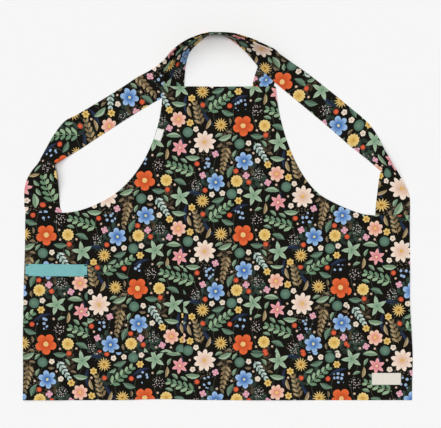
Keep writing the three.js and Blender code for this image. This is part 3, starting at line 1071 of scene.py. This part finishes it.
@dataclass
class BodyPanel:
    """The bib and skirt in one cut of canvas, hemmed all round."""

    hem_half: float = 467.0
    side_half: float = 461.0
    bib_top: float = 753.0
    left: Armhole = Armhole(side=-1, bib=131.5, outer=372.5, corner=450.0, sway=0.0, fill=2.4)
    right: Armhole = Armhole(side=1, bib=139.5, outer=378.0, corner=444.0, sway=5.0, fill=5.8)
    thickness: float = 1.2
    cell: float = 5.0
    armhole_steps: int = 48
    hem_width: float = 9.0
    hem_rise: float = 0.35
    hem_step: float = 1.5
    stitch_inset: float = 6.4
    stitch_groove: float = 0.2
    ripple: float = 0.35
    ripple_waves: tuple[float, float] = (71.0, 97.0)
    ripple_start: float = 0.6
    ripple_sway: float = 0.9
    ripple_sway_wave: float = 133.0
    lifts: tuple[Lift, ...] = (
        Lift(-112, 762, 96, 92, 4.8),
        Lift(112, 762, 96, 92, 2.0),
        Lift(-418, 456, 124, 76, 2.0),
        Lift(418, 456, 124, 76, 2.0),
        Lift(-440, 0, 100, 70, 3.5),
        Lift(-190, 0, 90, 60, 2.0),
        Lift(130, 0, 100, 60, 2.4),
        Lift(465, 240, 60, 110, 3.0),
        Lift(-465, 150, 60, 90, 2.4),
    )
    waves: tuple[EdgeWave, ...] = (
        EdgeWave(463, 110, 60, (3.0, 0.0)),
        EdgeWave(463, 247, 60, (-2.4, 0.0)),
        EdgeWave(-463, 262, 80, (-1.8, 0.0)),
        EdgeWave(-465, 150, 80, (-1.8, 0.0)),
        EdgeWave(-140, 0, 70, (0.0, 2.8)),
    )

    def quarter(self) -> np.ndarray:
        """The turns at which the armholes' edges are drawn."""
        return np.linspace(0.0, math.pi / 2, self.armhole_steps + 1)

    def corner_height(self, x: np.ndarray) -> np.ndarray:
        """The height of the line between skirt and bib, level outside the bib and straight across it."""
        return np.interp(x, [-self.left.bib, self.right.bib], [self.left.corner, self.right.corner])

    def outline(self) -> np.ndarray:
        """The panel's cut in plan, closed, from the hem's left end to the right and round.

        Returns:
            The cut's corners, one a row.
        """
        left = self.left.edge(self.bib_top, self.quarter())
        right = self.right.edge(self.bib_top, self.quarter())[::-1]
        low = [[-self.hem_half, 0.0], [self.hem_half, 0.0]]
        right_corner = [[self.side_half, self.right.corner]]
        left_corner = [[-self.side_half, self.left.corner]]
        return np.vstack([low, right_corner, right, left, left_corner, low[:1]])

    def patches(self) -> list[np.ndarray]:
        """The flat cloth as four grids: the skirt, the bib's middle and a fan on each side of it.

        The skirt's columns pass straight on into the bib's middle and the fans. A fan runs along rays from
        the bib's foot to the armhole's edge.

        Returns:
            Grids of places in plan, rows first.
        """
        reach = self.left.outer - self.left.bib
        rays = 1 - from_hem(reach, self.cell)[::-1] / reach
        wide = round((self.left.bib + self.right.bib) / self.cell)
        middle = np.linspace(-self.left.bib, self.right.bib, wide + 1)
        left_rays = -self.left.bib - rays * reach
        right_rays = self.right.bib + rays * (self.right.outer - self.right.bib)
        left_flat = -self.side_half + from_hem(self.side_half - self.left.outer, self.cell)
        right_flat = self.side_half - from_hem(self.side_half - self.right.outer, self.cell)[::-1]
        columns = [left_flat, left_rays[::-1][1:], middle[1:], right_rays[1:], right_flat[1:]]
        across = np.concatenate(columns)
        up = between_hems(self.left.corner, self.cell) / self.left.corner
        spread = 1 + (self.hem_half / self.side_half - 1) * (1 - up)
        skirt_x = across[None, :] * spread[:, None]
        skirt_y = up[:, None] * self.corner_height(across)[None, :]
        foot = self.corner_height(middle)
        bib_x = np.broadcast_to(middle, (len(rays), len(middle)))
        bib_y = foot[None, :] + rays[:, None] * (self.bib_top - foot[None, :])
        grids = [np.stack([skirt_x, skirt_y], axis=2), np.stack([bib_x, bib_y], axis=2)]
        for hole in (self.left, self.right):
            pivot = np.array([hole.side * hole.bib, hole.corner])
            edge = hole.edge(self.bib_top, self.quarter())
            grids.append(pivot + rays[:, None, None] * (edge - pivot)[None, :, :])
        return grids

    def flat_cloth(self) -> tuple[np.ndarray, list[np.ndarray]]:
        """The flat cloth as one net: the grids' shared points joined, and every face turned up.

        Returns:
            Places in plan, and quads and triangles.
        """
        grids = self.patches()
        counts = [grid.shape[0] * grid.shape[1] for grid in grids]
        starts = np.cumsum([0, *counts[:-1]])
        places = np.concatenate([grid.reshape(-1, 2) for grid in grids])
        quads = [grid_faces(*grid.shape[:2]) + start for grid, start in zip(grids, starts)]
        _, first, joined = np.unique(np.round(places, 3), axis=0, return_index=True, return_inverse=True)
        places = places[first]
        faces = joined.reshape(-1)[np.concatenate(quads)]
        diagonal = places[faces[:, 2]] - places[faces[:, 0]]
        other = places[faces[:, 3]] - places[faces[:, 1]]
        down = diagonal[:, 0] * other[:, 1] < diagonal[:, 1] * other[:, 0]
        pointed = faces[:, 0] == faces[:, 1]
        triangles = np.where(down[:, None], faces[:, [3, 2, 1]], faces[:, [1, 2, 3]])[pointed]
        quads = np.where(down[:, None], faces[:, ::-1], faces)[~pointed]
        return places, [quads, triangles]

    def laid(self, places: np.ndarray) -> np.ndarray:
        """Where places on the flat cloth lie in plan: shifted by the sum of the edge waves."""
        return places + np.sum([wave.at(places) for wave in self.waves], axis=0)

    def under(self, x: np.ndarray, y: np.ndarray) -> np.ndarray:
        """The height of the cloth's underside: the highest lift, with long shallow ripples over it.

        The ripples are a wave across the cloth, which sways on its way up, times a wave up the cloth.

        Args:
            x: Places across the smock.
            y: Places up from the hem.

        Returns:
            One height for each place.
        """
        lifted = np.max([lift.at(x, y) for lift in self.lifts], axis=0)
        sway = self.ripple_sway * np.sin(y / self.ripple_sway_wave)
        across = np.sin(x / self.ripple_waves[0] + sway)
        up = np.sin(y / self.ripple_waves[1] + self.ripple_start)
        return lifted + self.ripple * (1 + across * up)

    def wall(self, inset: np.ndarray) -> np.ndarray:
        """The cloth's thickness at a distance from its edge: a rolled edge, a hem and a sunk stitch line.

        Args:
            inset: Distances from the cloth's edge.

        Returns:
            One thickness for each distance.
        """
        hem = self.hem_rise * (1 - smooth_share(inset, self.hem_width - self.hem_step, self.hem_width))
        groove = stitch_line(inset, self.stitch_inset, self.stitch_groove)
        return (self.thickness + hem - groove) * rolled_edge(inset)

    def top(self, x: np.ndarray, y: np.ndarray) -> np.ndarray:
        """The height of the cloth's printed side, away from the hems."""
        return self.under(x, y) + self.thickness

    def seams(self) -> list[np.ndarray]:
        """The stitch lines in plan: along the hem, sides, skirt corners, armholes and bib top.

        Returns:
            The corners of each line, one a row.
        """
        inset = self.stitch_inset
        low, high = self.hem_half - inset, self.side_half - inset
        lines = [[[-low, inset], [low, inset]]]
        for hole in (self.left, self.right):
            level = hole.corner - inset
            lines.append([[hole.side * low, inset], [hole.side * high, level]])
            lines.append([[hole.side * high, level], [hole.side * hole.outer, level]])
            edge = hole.edge(self.bib_top, self.quarter())
            ahead = np.gradient(edge, axis=0)
            ahead /= np.linalg.norm(ahead, axis=1, keepdims=True)
            lines.append(edge + inset * hole.side * np.stack([ahead[:, 1], -ahead[:, 0]], axis=1))
        top = self.bib_top - inset
        lines.append([[-self.left.bib + inset, top], [self.right.bib - inset, top]])
        return [np.array(line, dtype=float) for line in lines]

    def build(self, canvas: bpy.types.Material, stitching: Stitching) -> bpy.types.Object:
        """Builds the panel and its stitching.

        Args:
            canvas: The printed canvas.
            stitching: The thread that its hems are sewn with.

        Returns:
            The panel.
        """
        places, faces = self.flat_cloth()
        inset = distance_to(places, self.outline())
        height = self.under(*places.T)
        lower = np.column_stack([self.laid(places), height])
        upper = lower + np.outer(self.wall(inset), [0.0, 0.0, 1.0])
        points, closed = close_wall(lower, upper, faces)
        panel = build_object("smock_panel", points, closed, np.tile(places, (2, 1)), canvas)
        paths = []
        for line in self.seams():
            spots = stitching.spaced(line)
            rise = self.under(*spots.T) + self.thickness + self.hem_rise - self.stitch_groove
            paths.append(np.column_stack([self.laid(spots), rise]))
        threads = stitching.build("panel_stitching", paths)
        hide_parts("body_panel")
        self.area() * MM * MM
        return panel

    def area(self) -> float:
        """The cut's flat area, by the shoelace rule on its outline."""
        x, y = self.outline().T
        return 0.5 * abs(float(np.sum(x[:-1] * y[1:] - x[1:] * y[:-1])))


class Section(NamedTuple):
    """A section across a strap.

    x and y are its inner edge, and facing is the way to its outer edge in plan. bank is how far the outer
    edge is turned up from the inner one, or down where it is negative, and lift is the inner edge's height.
    Angles are in degrees.
    """

    x: float
    y: float
    facing: float
    width: float
    bank: float
    lift: float


@dataclass
class Strap:
    """A wide strap of doubled canvas from a bib corner, over the neck, to the far corner of the skirt.

    turn is 1 where the outer edge is on the right of the way along the strap, and -1 where it is on the
    left. lean is how far back the straps' low edge moves behind the neck, within lean_reach of lean_middle.
    print_shift moves the print along and across the strap.
    """

    name: str
    node: str
    turn: int
    sections: tuple[Section, ...]
    thickness: float = 1.6
    steps: int = 10
    cell: float = 6.0
    stitch_inset: float = 5.2
    stitch_groove: float = 0.18
    lean: float = 8.0
    lean_height: float = 64.0
    lean_middle: float = -5.0
    lean_reach: tuple[float, float] = (8.0, 50.0)
    print_shift: tuple[float, float] = (0.0, 0.0)

    def edges(self) -> tuple[np.ndarray, np.ndarray]:
        """The inner and outer edges, as smooth curves through the sections.

        Neither sinks under the height of the sections' lower edge. Behind the neck both straps lean in: the
        lower a point is, the further it moves back.

        Returns:
            Points along the inner edge and along the outer edge.
        """
        table = np.array(self.sections)
        facing, bank = np.radians(table[:, 2]), np.radians(table[:, 4])
        width, lift = table[:, 3], table[:, 5]
        reach = width * np.cos(bank)
        inner = np.column_stack([table[:, :2], lift])
        rise = width * np.sin(bank)
        outer = inner + np.column_stack([reach * np.cos(facing), reach * np.sin(facing), rise])
        spots = np.linspace(0.0, len(table) - 1, (len(table) - 1) * self.steps + 1)
        floor = np.interp(spots, np.arange(len(table)), np.minimum(lift, lift + rise))
        sides = []
        for curve in (smooth_curve(inner, spots), smooth_curve(outer, spots)):
            curve[:, 2] = np.maximum(curve[:, 2], floor)
            nearness = 1 - smooth_share(np.abs(curve[:, 0] - self.lean_middle), *self.lean_reach)
            curve[:, 1] += self.lean * nearness * (1 - curve[:, 2] / self.lean_height)
            sides.append(curve)
        return sides[0], sides[1]

    def build(self, canvas: bpy.types.Material, stitching: Stitching) -> bpy.types.Object:
        """Builds the strap and its stitching.

        The strap is ruled between its two edges and thick towards the printed side.

        Args:
            canvas: The printed canvas.
            stitching: The thread along its edges.

        Returns:
            The strap.
        """
        inner, outer = self.edges()
        wide = float(np.mean(np.linalg.norm(outer - inner, axis=1)))
        across = between_hems(wide, self.cell) / wide
        share = across if self.turn > 0 else across[::-1]
        under = inner[:, None] + share[None, :, None] * (outer - inner)[:, None]
        ahead = np.gradient(under, axis=0)
        normal = np.cross((outer - inner)[:, None] * self.turn, ahead)
        normal /= np.linalg.norm(normal, axis=2, keepdims=True)
        inset = np.minimum(across, across[::-1]) * wide
        groove = stitch_line(inset, self.stitch_inset, self.stitch_groove)
        wall = (self.thickness - groove) * rolled_edge(inset)
        over = under + normal * wall[None, :, None]
        centre = (inner + outer) / 2
        along = np.concatenate([[0.0], np.cumsum(np.linalg.norm(np.diff(centre, axis=0), axis=1))])
        rows, columns = under.shape[:2]
        flat = np.stack(np.broadcast_arrays(along[:, None], across[None, :] * wide), axis=2)
        flat = flat + self.print_shift
        quads = [grid_faces(rows, columns)]
        points, faces = close_wall(under.reshape(-1, 3), over.reshape(-1, 3), quads)
        strap = build_object(self.name, points, faces, np.tile(flat.reshape(-1, 2), (2, 1)), canvas)
        paths, normals = [], []
        for line in (self.stitch_inset, wide - self.stitch_inset):
            column = np.argmin(np.abs(across * wide - line))
            both = stitching.spaced(np.hstack([over[:, column], normal[:, column]]))
            paths.append(both[:, :3])
            normals.append(both[:, 3:])
        threads = stitching.build(f"{self.name}_stitching", paths, normals)
        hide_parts(self.node)
        return strap


@dataclass
class PatchPocket:
    """A patch pocket sewn down along its sides and bottom, a little slack at the mouth."""

    name: str
    node: str
    side: int
    panel: BodyPanel
    inner: float = 82.0
    outer: float = 312.0
    bottom: float = 115.0
    mouth: float = 324.0
    thickness: float = 1.2
    slack: float = 3.2
    slack_reach: float = 60.0
    seam: float = 6.0
    gap: float = 0.3
    cell: float = 6.0
    mouth_hem: float = 20.0
    mouth_stitch: float = 2.6
    hem_rise: float = 0.4
    hem_step: float = 2.0
    stitch_inset: float = 5.2
    print_shift: tuple[float, float] = (2.0, -5.0)

    def rise(self, across: np.ndarray, up: np.ndarray) -> np.ndarray:
        """How far the pocket stands off the panel: slack that grows to the mouth, and none at the seams.

        Args:
            across: Places from the pocket's left edge.
            up: Places from its bottom.

        Returns:
            One distance for each place.
        """
        wide, tall = self.outer - self.inner, self.mouth - self.bottom
        sides = smooth_share(np.minimum(across, wide - across), self.seam, self.slack_reach)
        return self.slack * sides * smooth_share(up, self.seam, tall)

    def build(self, canvas: bpy.types.Material, stitching: Stitching) -> bpy.types.Object:
        """Builds the pocket and its stitching.

        Args:
            canvas: The printed canvas.
            stitching: The thread that it is sewn with.

        Returns:
            The pocket.
        """
        wide, tall = self.outer - self.inner, self.mouth - self.bottom
        left = -self.outer if self.side < 0 else self.inner
        across, up = np.meshgrid(between_hems(wide, self.cell), between_hems(tall, self.cell))
        x, y = left + across, self.bottom + up
        low = self.panel.top(x, y) + self.gap + self.rise(across, up)
        inset = np.minimum(np.minimum(across, wide - across), np.minimum(up, tall - up))
        fold = tall - self.mouth_hem
        hem = self.hem_rise * smooth_share(up, fold - self.hem_step, fold)
        high = low + (self.thickness + hem) * rolled_edge(inset)
        under = np.stack([x, y, low], axis=2).reshape(-1, 3)
        over = np.stack([x, y, high], axis=2).reshape(-1, 3)
        points, faces = close_wall(under, over, [grid_faces(*x.shape)])
        flat = points[:, :2] + self.print_shift
        pocket = build_object(self.name, points, faces, flat, canvas)
        inset, level = self.stitch_inset, fold + self.mouth_stitch
        lines = [
            [[inset, tall], [inset, inset], [wide - inset, inset], [wide - inset, tall]],
            [[inset, level], [wide - inset, level]],
        ]
        paths = []
        for line in lines:
            spots = stitching.spaced(np.array(line, dtype=float))
            plan = spots + [left, self.bottom]
            lift = self.panel.top(*plan.T) + self.gap + self.rise(*spots.T) + self.thickness
            paths.append(np.column_stack([plan, lift]))
        threads = stitching.build(f"{self.name}_stitching", paths)
        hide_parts(self.node)
        return pocket


@dataclass
class TowelLoop:
    """A flat cotton tape from the side edge to the pocket, bar-tacked at its four corners.

    A tack is tack_rows short rows, tack_step apart, with tack as their length. tack_end and tack_edge are
    their distances from the tape's end and edge, and tack_rise is how far they lie on its face.
    """

    panel: BodyPanel
    left: float = -461.0
    right: float = -312.6
    middle: float = 312.0
    width: float = 29.0
    thickness: float = 1.2
    gap: float = 0.3
    sewn: float = 10.0
    ramp: float = 16.0
    slack: float = 3.4
    slope: float = -0.008
    cell: float = 4.0
    tack: float = 6.5
    tack_rows: int = 5
    tack_step: float = 0.6
    tack_end: float = 4.0
    tack_edge: float = 1.4
    tack_rise: float = 0.15

    def place(self, along: np.ndarray, across: np.ndarray) -> np.ndarray:
        """The tape's underside: it arches off the panel between its sewn ends, and runs slightly downhill.

        Args:
            along: Places along the tape from its left end.
            across: Places across it from its middle.

        Returns:
            Points on the smock, in the shape of the arguments with x, y and z last.
        """
        length = self.right - self.left
        ends = np.minimum(along, length - along)
        x = self.left + along
        y = self.middle + across + self.slope * (along - length / 2)
        rise = self.slack * smooth_share(ends, self.sewn, self.sewn + self.ramp)
        return np.stack([x, y, self.panel.top(x, y) + self.gap + rise], axis=-1)

    def build(self, tape: bpy.types.Material, dark: Stitching) -> bpy.types.Object:
        """Builds the tape and its bar tacks.

        Args:
            tape: The woven tape.
            dark: The thread of the bar tacks.

        Returns:
            The tape.
        """
        length = self.right - self.left
        along, across = np.meshgrid(
            between_hems(length, self.cell), between_hems(self.width, self.cell) - self.width / 2
        )
        low = self.place(along, across)
        inset = np.minimum(np.minimum(along, length - along), self.width / 2 - np.abs(across))
        high = low + np.array([0.0, 0.0, self.thickness]) * rolled_edge(inset)[..., None]
        points, faces = close_wall(low.reshape(-1, 3), high.reshape(-1, 3), [grid_faces(*along.shape)])
        flat = np.stack([along, across], axis=2).reshape(-1, 2)
        loop = build_object("loop_tape", points, faces, np.tile(flat, (2, 1)), tape)
        rows = []
        for end in (self.tack_end, length - self.tack_end):
            for side in (-1, 1):
                edge = side * (self.width / 2 - self.tack_edge)
                for row in range(self.tack_rows):
                    level = edge - side * row * self.tack_step
                    ends = [[end - self.tack / 2, level], [end + self.tack / 2, level]]
                    spots = dark.spaced(np.array(ends))
                    rows.append(self.place(*spots.T) + [0.0, 0.0, self.thickness + self.tack_rise])
        tacks = dark.build("loop_bar_tacks", rows)
        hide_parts("towel_loop")
        return loop


@dataclass
class SewnLabel:
    """A bare cotton label that lies on the panel, sewn down at its two short ends.

    corner is its first corner in plan, and turn is how far its long side is turned from x, in degrees.
    """

    name: str
    node: str
    panel: BodyPanel
    corner: tuple[float, float]
    turn: float
    length: float
    width: float
    thickness: float = 1.0
    gap: float = 0.3
    cell: float = 3.0
    stitch_inset: float = 2.6
    stitch_margin: float = 1.0

    def place(self, along: np.ndarray, across: np.ndarray) -> np.ndarray:
        """The label's underside at places along and across it.

        Args:
            along: Places along the label from its first corner.
            across: Places across it.

        Returns:
            Points on the smock, in the shape of the arguments with x, y and z last.
        """
        angle = math.radians(self.turn)
        x = self.corner[0] + along * math.cos(angle) - across * math.sin(angle)
        y = self.corner[1] + along * math.sin(angle) + across * math.cos(angle)
        return np.stack([x, y, self.panel.top(x, y) + self.gap], axis=-1)

    def build(self, cotton: bpy.types.Material, stitching: Stitching) -> bpy.types.Object:
        """Builds the label and its stitching.

        Args:
            cotton: The label's cotton.
            stitching: The thread at its ends.

        Returns:
            The label.
        """
        along, across = np.meshgrid(
            between_rolls(self.length, self.cell), between_rolls(self.width, self.cell)
        )
        low = self.place(along, across)
        inset = np.minimum(np.minimum(along, self.length - along), np.minimum(across, self.width - across))
        high = low + np.array([0.0, 0.0, self.thickness]) * rolled_edge(inset)[..., None]
        points, faces = close_wall(low.reshape(-1, 3), high.reshape(-1, 3), [grid_faces(*along.shape)])
        flat = np.stack([along, across], axis=2).reshape(-1, 2)
        label = build_object(self.name, points, faces, np.tile(flat, (2, 1)), cotton)
        paths = []
        for end in (self.stitch_inset, self.length - self.stitch_inset):
            ends = [[end, self.stitch_margin], [end, self.width - self.stitch_margin]]
            spots = stitching.spaced(np.array(ends))
            paths.append(self.place(*spots.T) + [0.0, 0.0, self.thickness])
        threads = stitching.build(f"{self.name}_stitching", paths)
        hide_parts(self.node)
        return label


class Lamp(NamedTuple):
    """A far, soft lamp: its spread is the angle that it fills, and source is the way to it."""

    name: str
    strength: float
    spread: float
    source: tuple[float, float, float]


@dataclass
class Studio:
    """A pale floor, soft light from overhead and the upper left, and a camera straight above the smock."""

    floor_size: float = 60.0
    floor_drop: float = 0.0004
    floor_colour: str = "#f4f4f4"
    camera_place: tuple[float, float, float] = (0.0072, 0.0085, 3.8)
    camera_lens: float = 129.2
    sky: float = 0.2
    lamps: tuple[Lamp, ...] = (
        Lamp("key", 1.36, 44.0, (-0.36, 0.33, 0.87)),
        Lamp("overhead", 1.4, 16.0, (0.0, 0.0, 1.0)),
    )

    def build(self) -> None:
        """Sets up the floor, the lights and the camera."""
        scene = bpy.context.scene
        scene.view_settings.view_transform = "Standard"
        world = bpy.data.worlds.new("studio")
        world.use_nodes = True
        world.node_tree.nodes["Background"].inputs["Strength"].default_value = self.sky
        world.node_tree.nodes["Background"].inputs["Color"].default_value = (1.0, 1.0, 1.0, 1.0)
        scene.world = world
        half = self.floor_size / 2
        mesh = bpy.data.meshes.new("floor")
        corners = [(-half, -half), (half, -half), (half, half), (-half, half)]
        mesh.from_pydata([(x, y, -self.floor_drop) for x, y in corners], [], [(0, 1, 2, 3)])
        mesh.materials.append(self.paper())
        floor = bpy.data.objects.new("floor", mesh)
        scene.collection.objects.link(floor)
        for lamp in self.lamps:
            light = bpy.data.lights.new(lamp.name, "SUN")
            light.energy = lamp.strength
            light.angle = math.radians(lamp.spread)
            holder = bpy.data.objects.new(lamp.name, light)
            holder.rotation_euler = Vector(lamp.source).to_track_quat("Z", "Y").to_euler()
            scene.collection.objects.link(holder)
        lens = bpy.data.cameras.new("camera")
        lens.lens = self.camera_lens
        camera = bpy.data.objects.new("camera", lens)
        camera.location = self.camera_place
        scene.collection.objects.link(camera)
        scene.camera = camera

    def paper(self) -> bpy.types.Material:
        """The floor's matt white paper: even and pale, with no gloss at all.

        Returns:
            The material.
        """
        made = bpy.data.materials.new("matt_white_paper")
        made.use_nodes = True
        shader = made.node_tree.nodes["Principled BSDF"]
        shader.inputs["Base Color"].default_value = linear(self.floor_colour)
        shader.inputs["Roughness"].default_value = 1.0
        shader.inputs["Specular IOR Level"].default_value = 0.0
        return made


# The left strap's sections, from the bib's left corner over the neck to the skirt's right corner
LEFT_STRAP = (
    Section(-80, 735, 180, 50, 0, 2.8),
    Section(-80, 756, 180, 50, 0, 2.8),
    Section(-79, 779, 177, 53, 28, 2.4),
    Section(-76.5, 808, 166, 57, 60, 1),
    Section(-68, 834, 150, 60, 73, 0.3),
    Section(-50, 855, 131, 62, 82, 0.2),
    Section(-23, 869, 108, 63, 87, 0.2),
    Section(7, 871, 87, 64, 88, 0.3),
    Section(34, 863.5, 64, 64, 84, 0.8),
    Section(57.5, 846.5, 51, 64, 74, 1.6),
    Section(77, 827, 45, 64, 62, 2.2),
    Section(98, 801, 44.5, 63, 38, 4),
    Section(133, 767, 48.5, 62, 10, 2.9),
    Section(188, 721, 50.5, 67.5, 1, 0.4),
    Section(273, 650, 50.5, 69.5, 0, 0),
    Section(317, 611.5, 50.5, 70, 0, 0),
    Section(344, 590, 48.5, 60, 3, 0),
    Section(366, 572.5, 39.5, 47, 20, 0),
    Section(384, 557, 39, 40.5, 28, 0),
    Section(392, 549.5, 27.5, 36.5, 29.5, 0),
    Section(389.5, 540, 9, 45, 18, 0),
    Section(386, 516, 3.5, 62.5, 7.5, 0),
    Section(383, 492, 0.5, 77, 2, 0),
    Section(380, 466, 0, 82.5, 0, 0),
    Section(379, 446, 0, 83, 0, 0),
    Section(379, 425, 0, 82, 0, 0),
)

# The right strap's sections, from the bib's right corner over the neck to the skirt's left corner
RIGHT_STRAP = (
    Section(84, 735, 0, 52, 0, 0),
    Section(84, 757, 0, 52, 0, 0),
    Section(90, 781, 8, 56, 3, 0),
    Section(96, 806, 25, 59, 16, 0),
    Section(80.5, 830.5, 45, 61, 58, 0),
    Section(60, 849.5, 52, 62, 71, 0),
    Section(35, 866.5, 66, 63, 82, 0),
    Section(5, 874.5, 90, 64, 88, 0),
    Section(-23, 872.5, 104, 64, 87, 0),
    Section(-49.5, 861.5, 117, 64, 84, 0),
    Section(-62, 848.5, 128, 64, 77, 0),
    Section(-74.5, 830, 136, 65, 68, 0),
    Section(-85, 807, 135, 61, 54, 0),
    Section(-92, 766, 131, 63, 13, 0),
    Section(-124, 732, 124, 71, 0, 0),
    Section(-155, 713.5, 123, 72.5, 0, 0),
    Section(-186, 695, 122, 70.5, 0, 0),
    Section(-297, 624, 122, 73.5, 0, 0),
    Section(-324.5, 605.5, 122.5, 77, 0, 0),
    Section(-351, 590, 134, 62.5, -2, 2.2),
    Section(-366.5, 580, 144.5, 52, -6.5, 6),
    Section(-380.5, 570.5, 163, 47, -19.5, 15.8),
    Section(-388.5, 564, 176, 49.5, -29, 24.1),
    Section(-385, 550.5, 179.5, 65, -22.5, 24.9),
    Section(-382, 529.5, 180, 78, -15, 20.2),
    Section(-380.5, 507, 180.5, 83.5, -7, 10.2),
    Section(-379.5, 482, 180.5, 84.5, -2.5, 3.7),
    Section(-377.5, 462, 180, 86, 0, 0),
    Section(-374, 452, 180, 87, 0, 0),
    Section(-374, 431, 180, 87, 0, 0),
)


def main() -> None:
    """Builds the studio and every piece of the smock in order."""
    logging.basicConfig(level=logging.INFO, format="%(name)s: %(message)s")
    LOG.info("frame: %d solids to dress", len(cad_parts))
    Studio().build()
    # Cotton canvas, woven and then printed: matt, near black, with slubs that break up the print's colours
    canvas = PrintedCanvas("printed_cotton_canvas", "#110e08", specular=0.12).material()
    # Cotton tape, woven narrow and dyed: matt teal, with streaks along and across its threads
    tape = WovenCloth("woven_teal_tape", "#79b5b6", slub=0.16).material()
    # Label cotton, woven fine: matt cream and matt white, with faint slubs and faint painted shade between
    # the threads
    cream = WovenCloth("woven_cream_label_cotton", "#dfdacd", thread=0.8, slub=0.1).material()
    white = WovenCloth("woven_white_label_cotton", "#eeece8", thread=0.8, slub=0.1).material()
    # Spun polyester thread: fine dark or pale dashes with a faint gloss along the seams
    black_thread = WovenCloth("spun_black_thread", "#1a1816", thread=0.5, roughness=0.6).material()
    pale_thread = WovenCloth("spun_cream_thread", "#ded8ca", thread=0.5, roughness=0.6).material()
    seams = Stitching(black_thread)
    tacks = Stitching(black_thread, pitch=2.2, length=2.6, radius=0.42)
    label_seams = Stitching(pale_thread, pitch=2.4, length=1.8, radius=0.2)
    panel = BodyPanel()
    right_strap = Strap(
        "strap_right", "right_strap", turn=1, sections=RIGHT_STRAP, print_shift=(30.0, 12.0)
    )
    left_strap = Strap(
        "strap_left", "left_strap", turn=-1, sections=LEFT_STRAP, print_shift=(131.0, 85.0)
    )
    left_pocket = PatchPocket("pocket_left", "left_pocket", side=-1, panel=panel, print_shift=(17.0, -3.0))
    right_pocket = PatchPocket("pocket_right", "right_pocket", side=1, panel=panel)
    hem_label = SewnLabel(
        "label_hem", "hem_label", panel, corner=(370.4, 37.0), turn=0.0, length=70.0, width=28.4
    )
    edge_label = SewnLabel(
        "label_edge", "edge_label", panel, corner=(-136.7, 621.2), turn=72.3, length=28.5, width=16.5
    )
    made = [
        panel.build(canvas, seams),
        right_strap.build(canvas, seams),
        left_strap.build(canvas, seams),
        left_pocket.build(canvas, seams),
        right_pocket.build(canvas, seams),
        TowelLoop(panel).build(tape, tacks),
        hem_label.build(cream, label_seams),
        edge_label.build(white, label_seams),
    ]
    for piece in made:
        LOG.info("%s: %d faces", piece.name, len(piece.data.polygons))


if __name__ == "__main__":
    main()
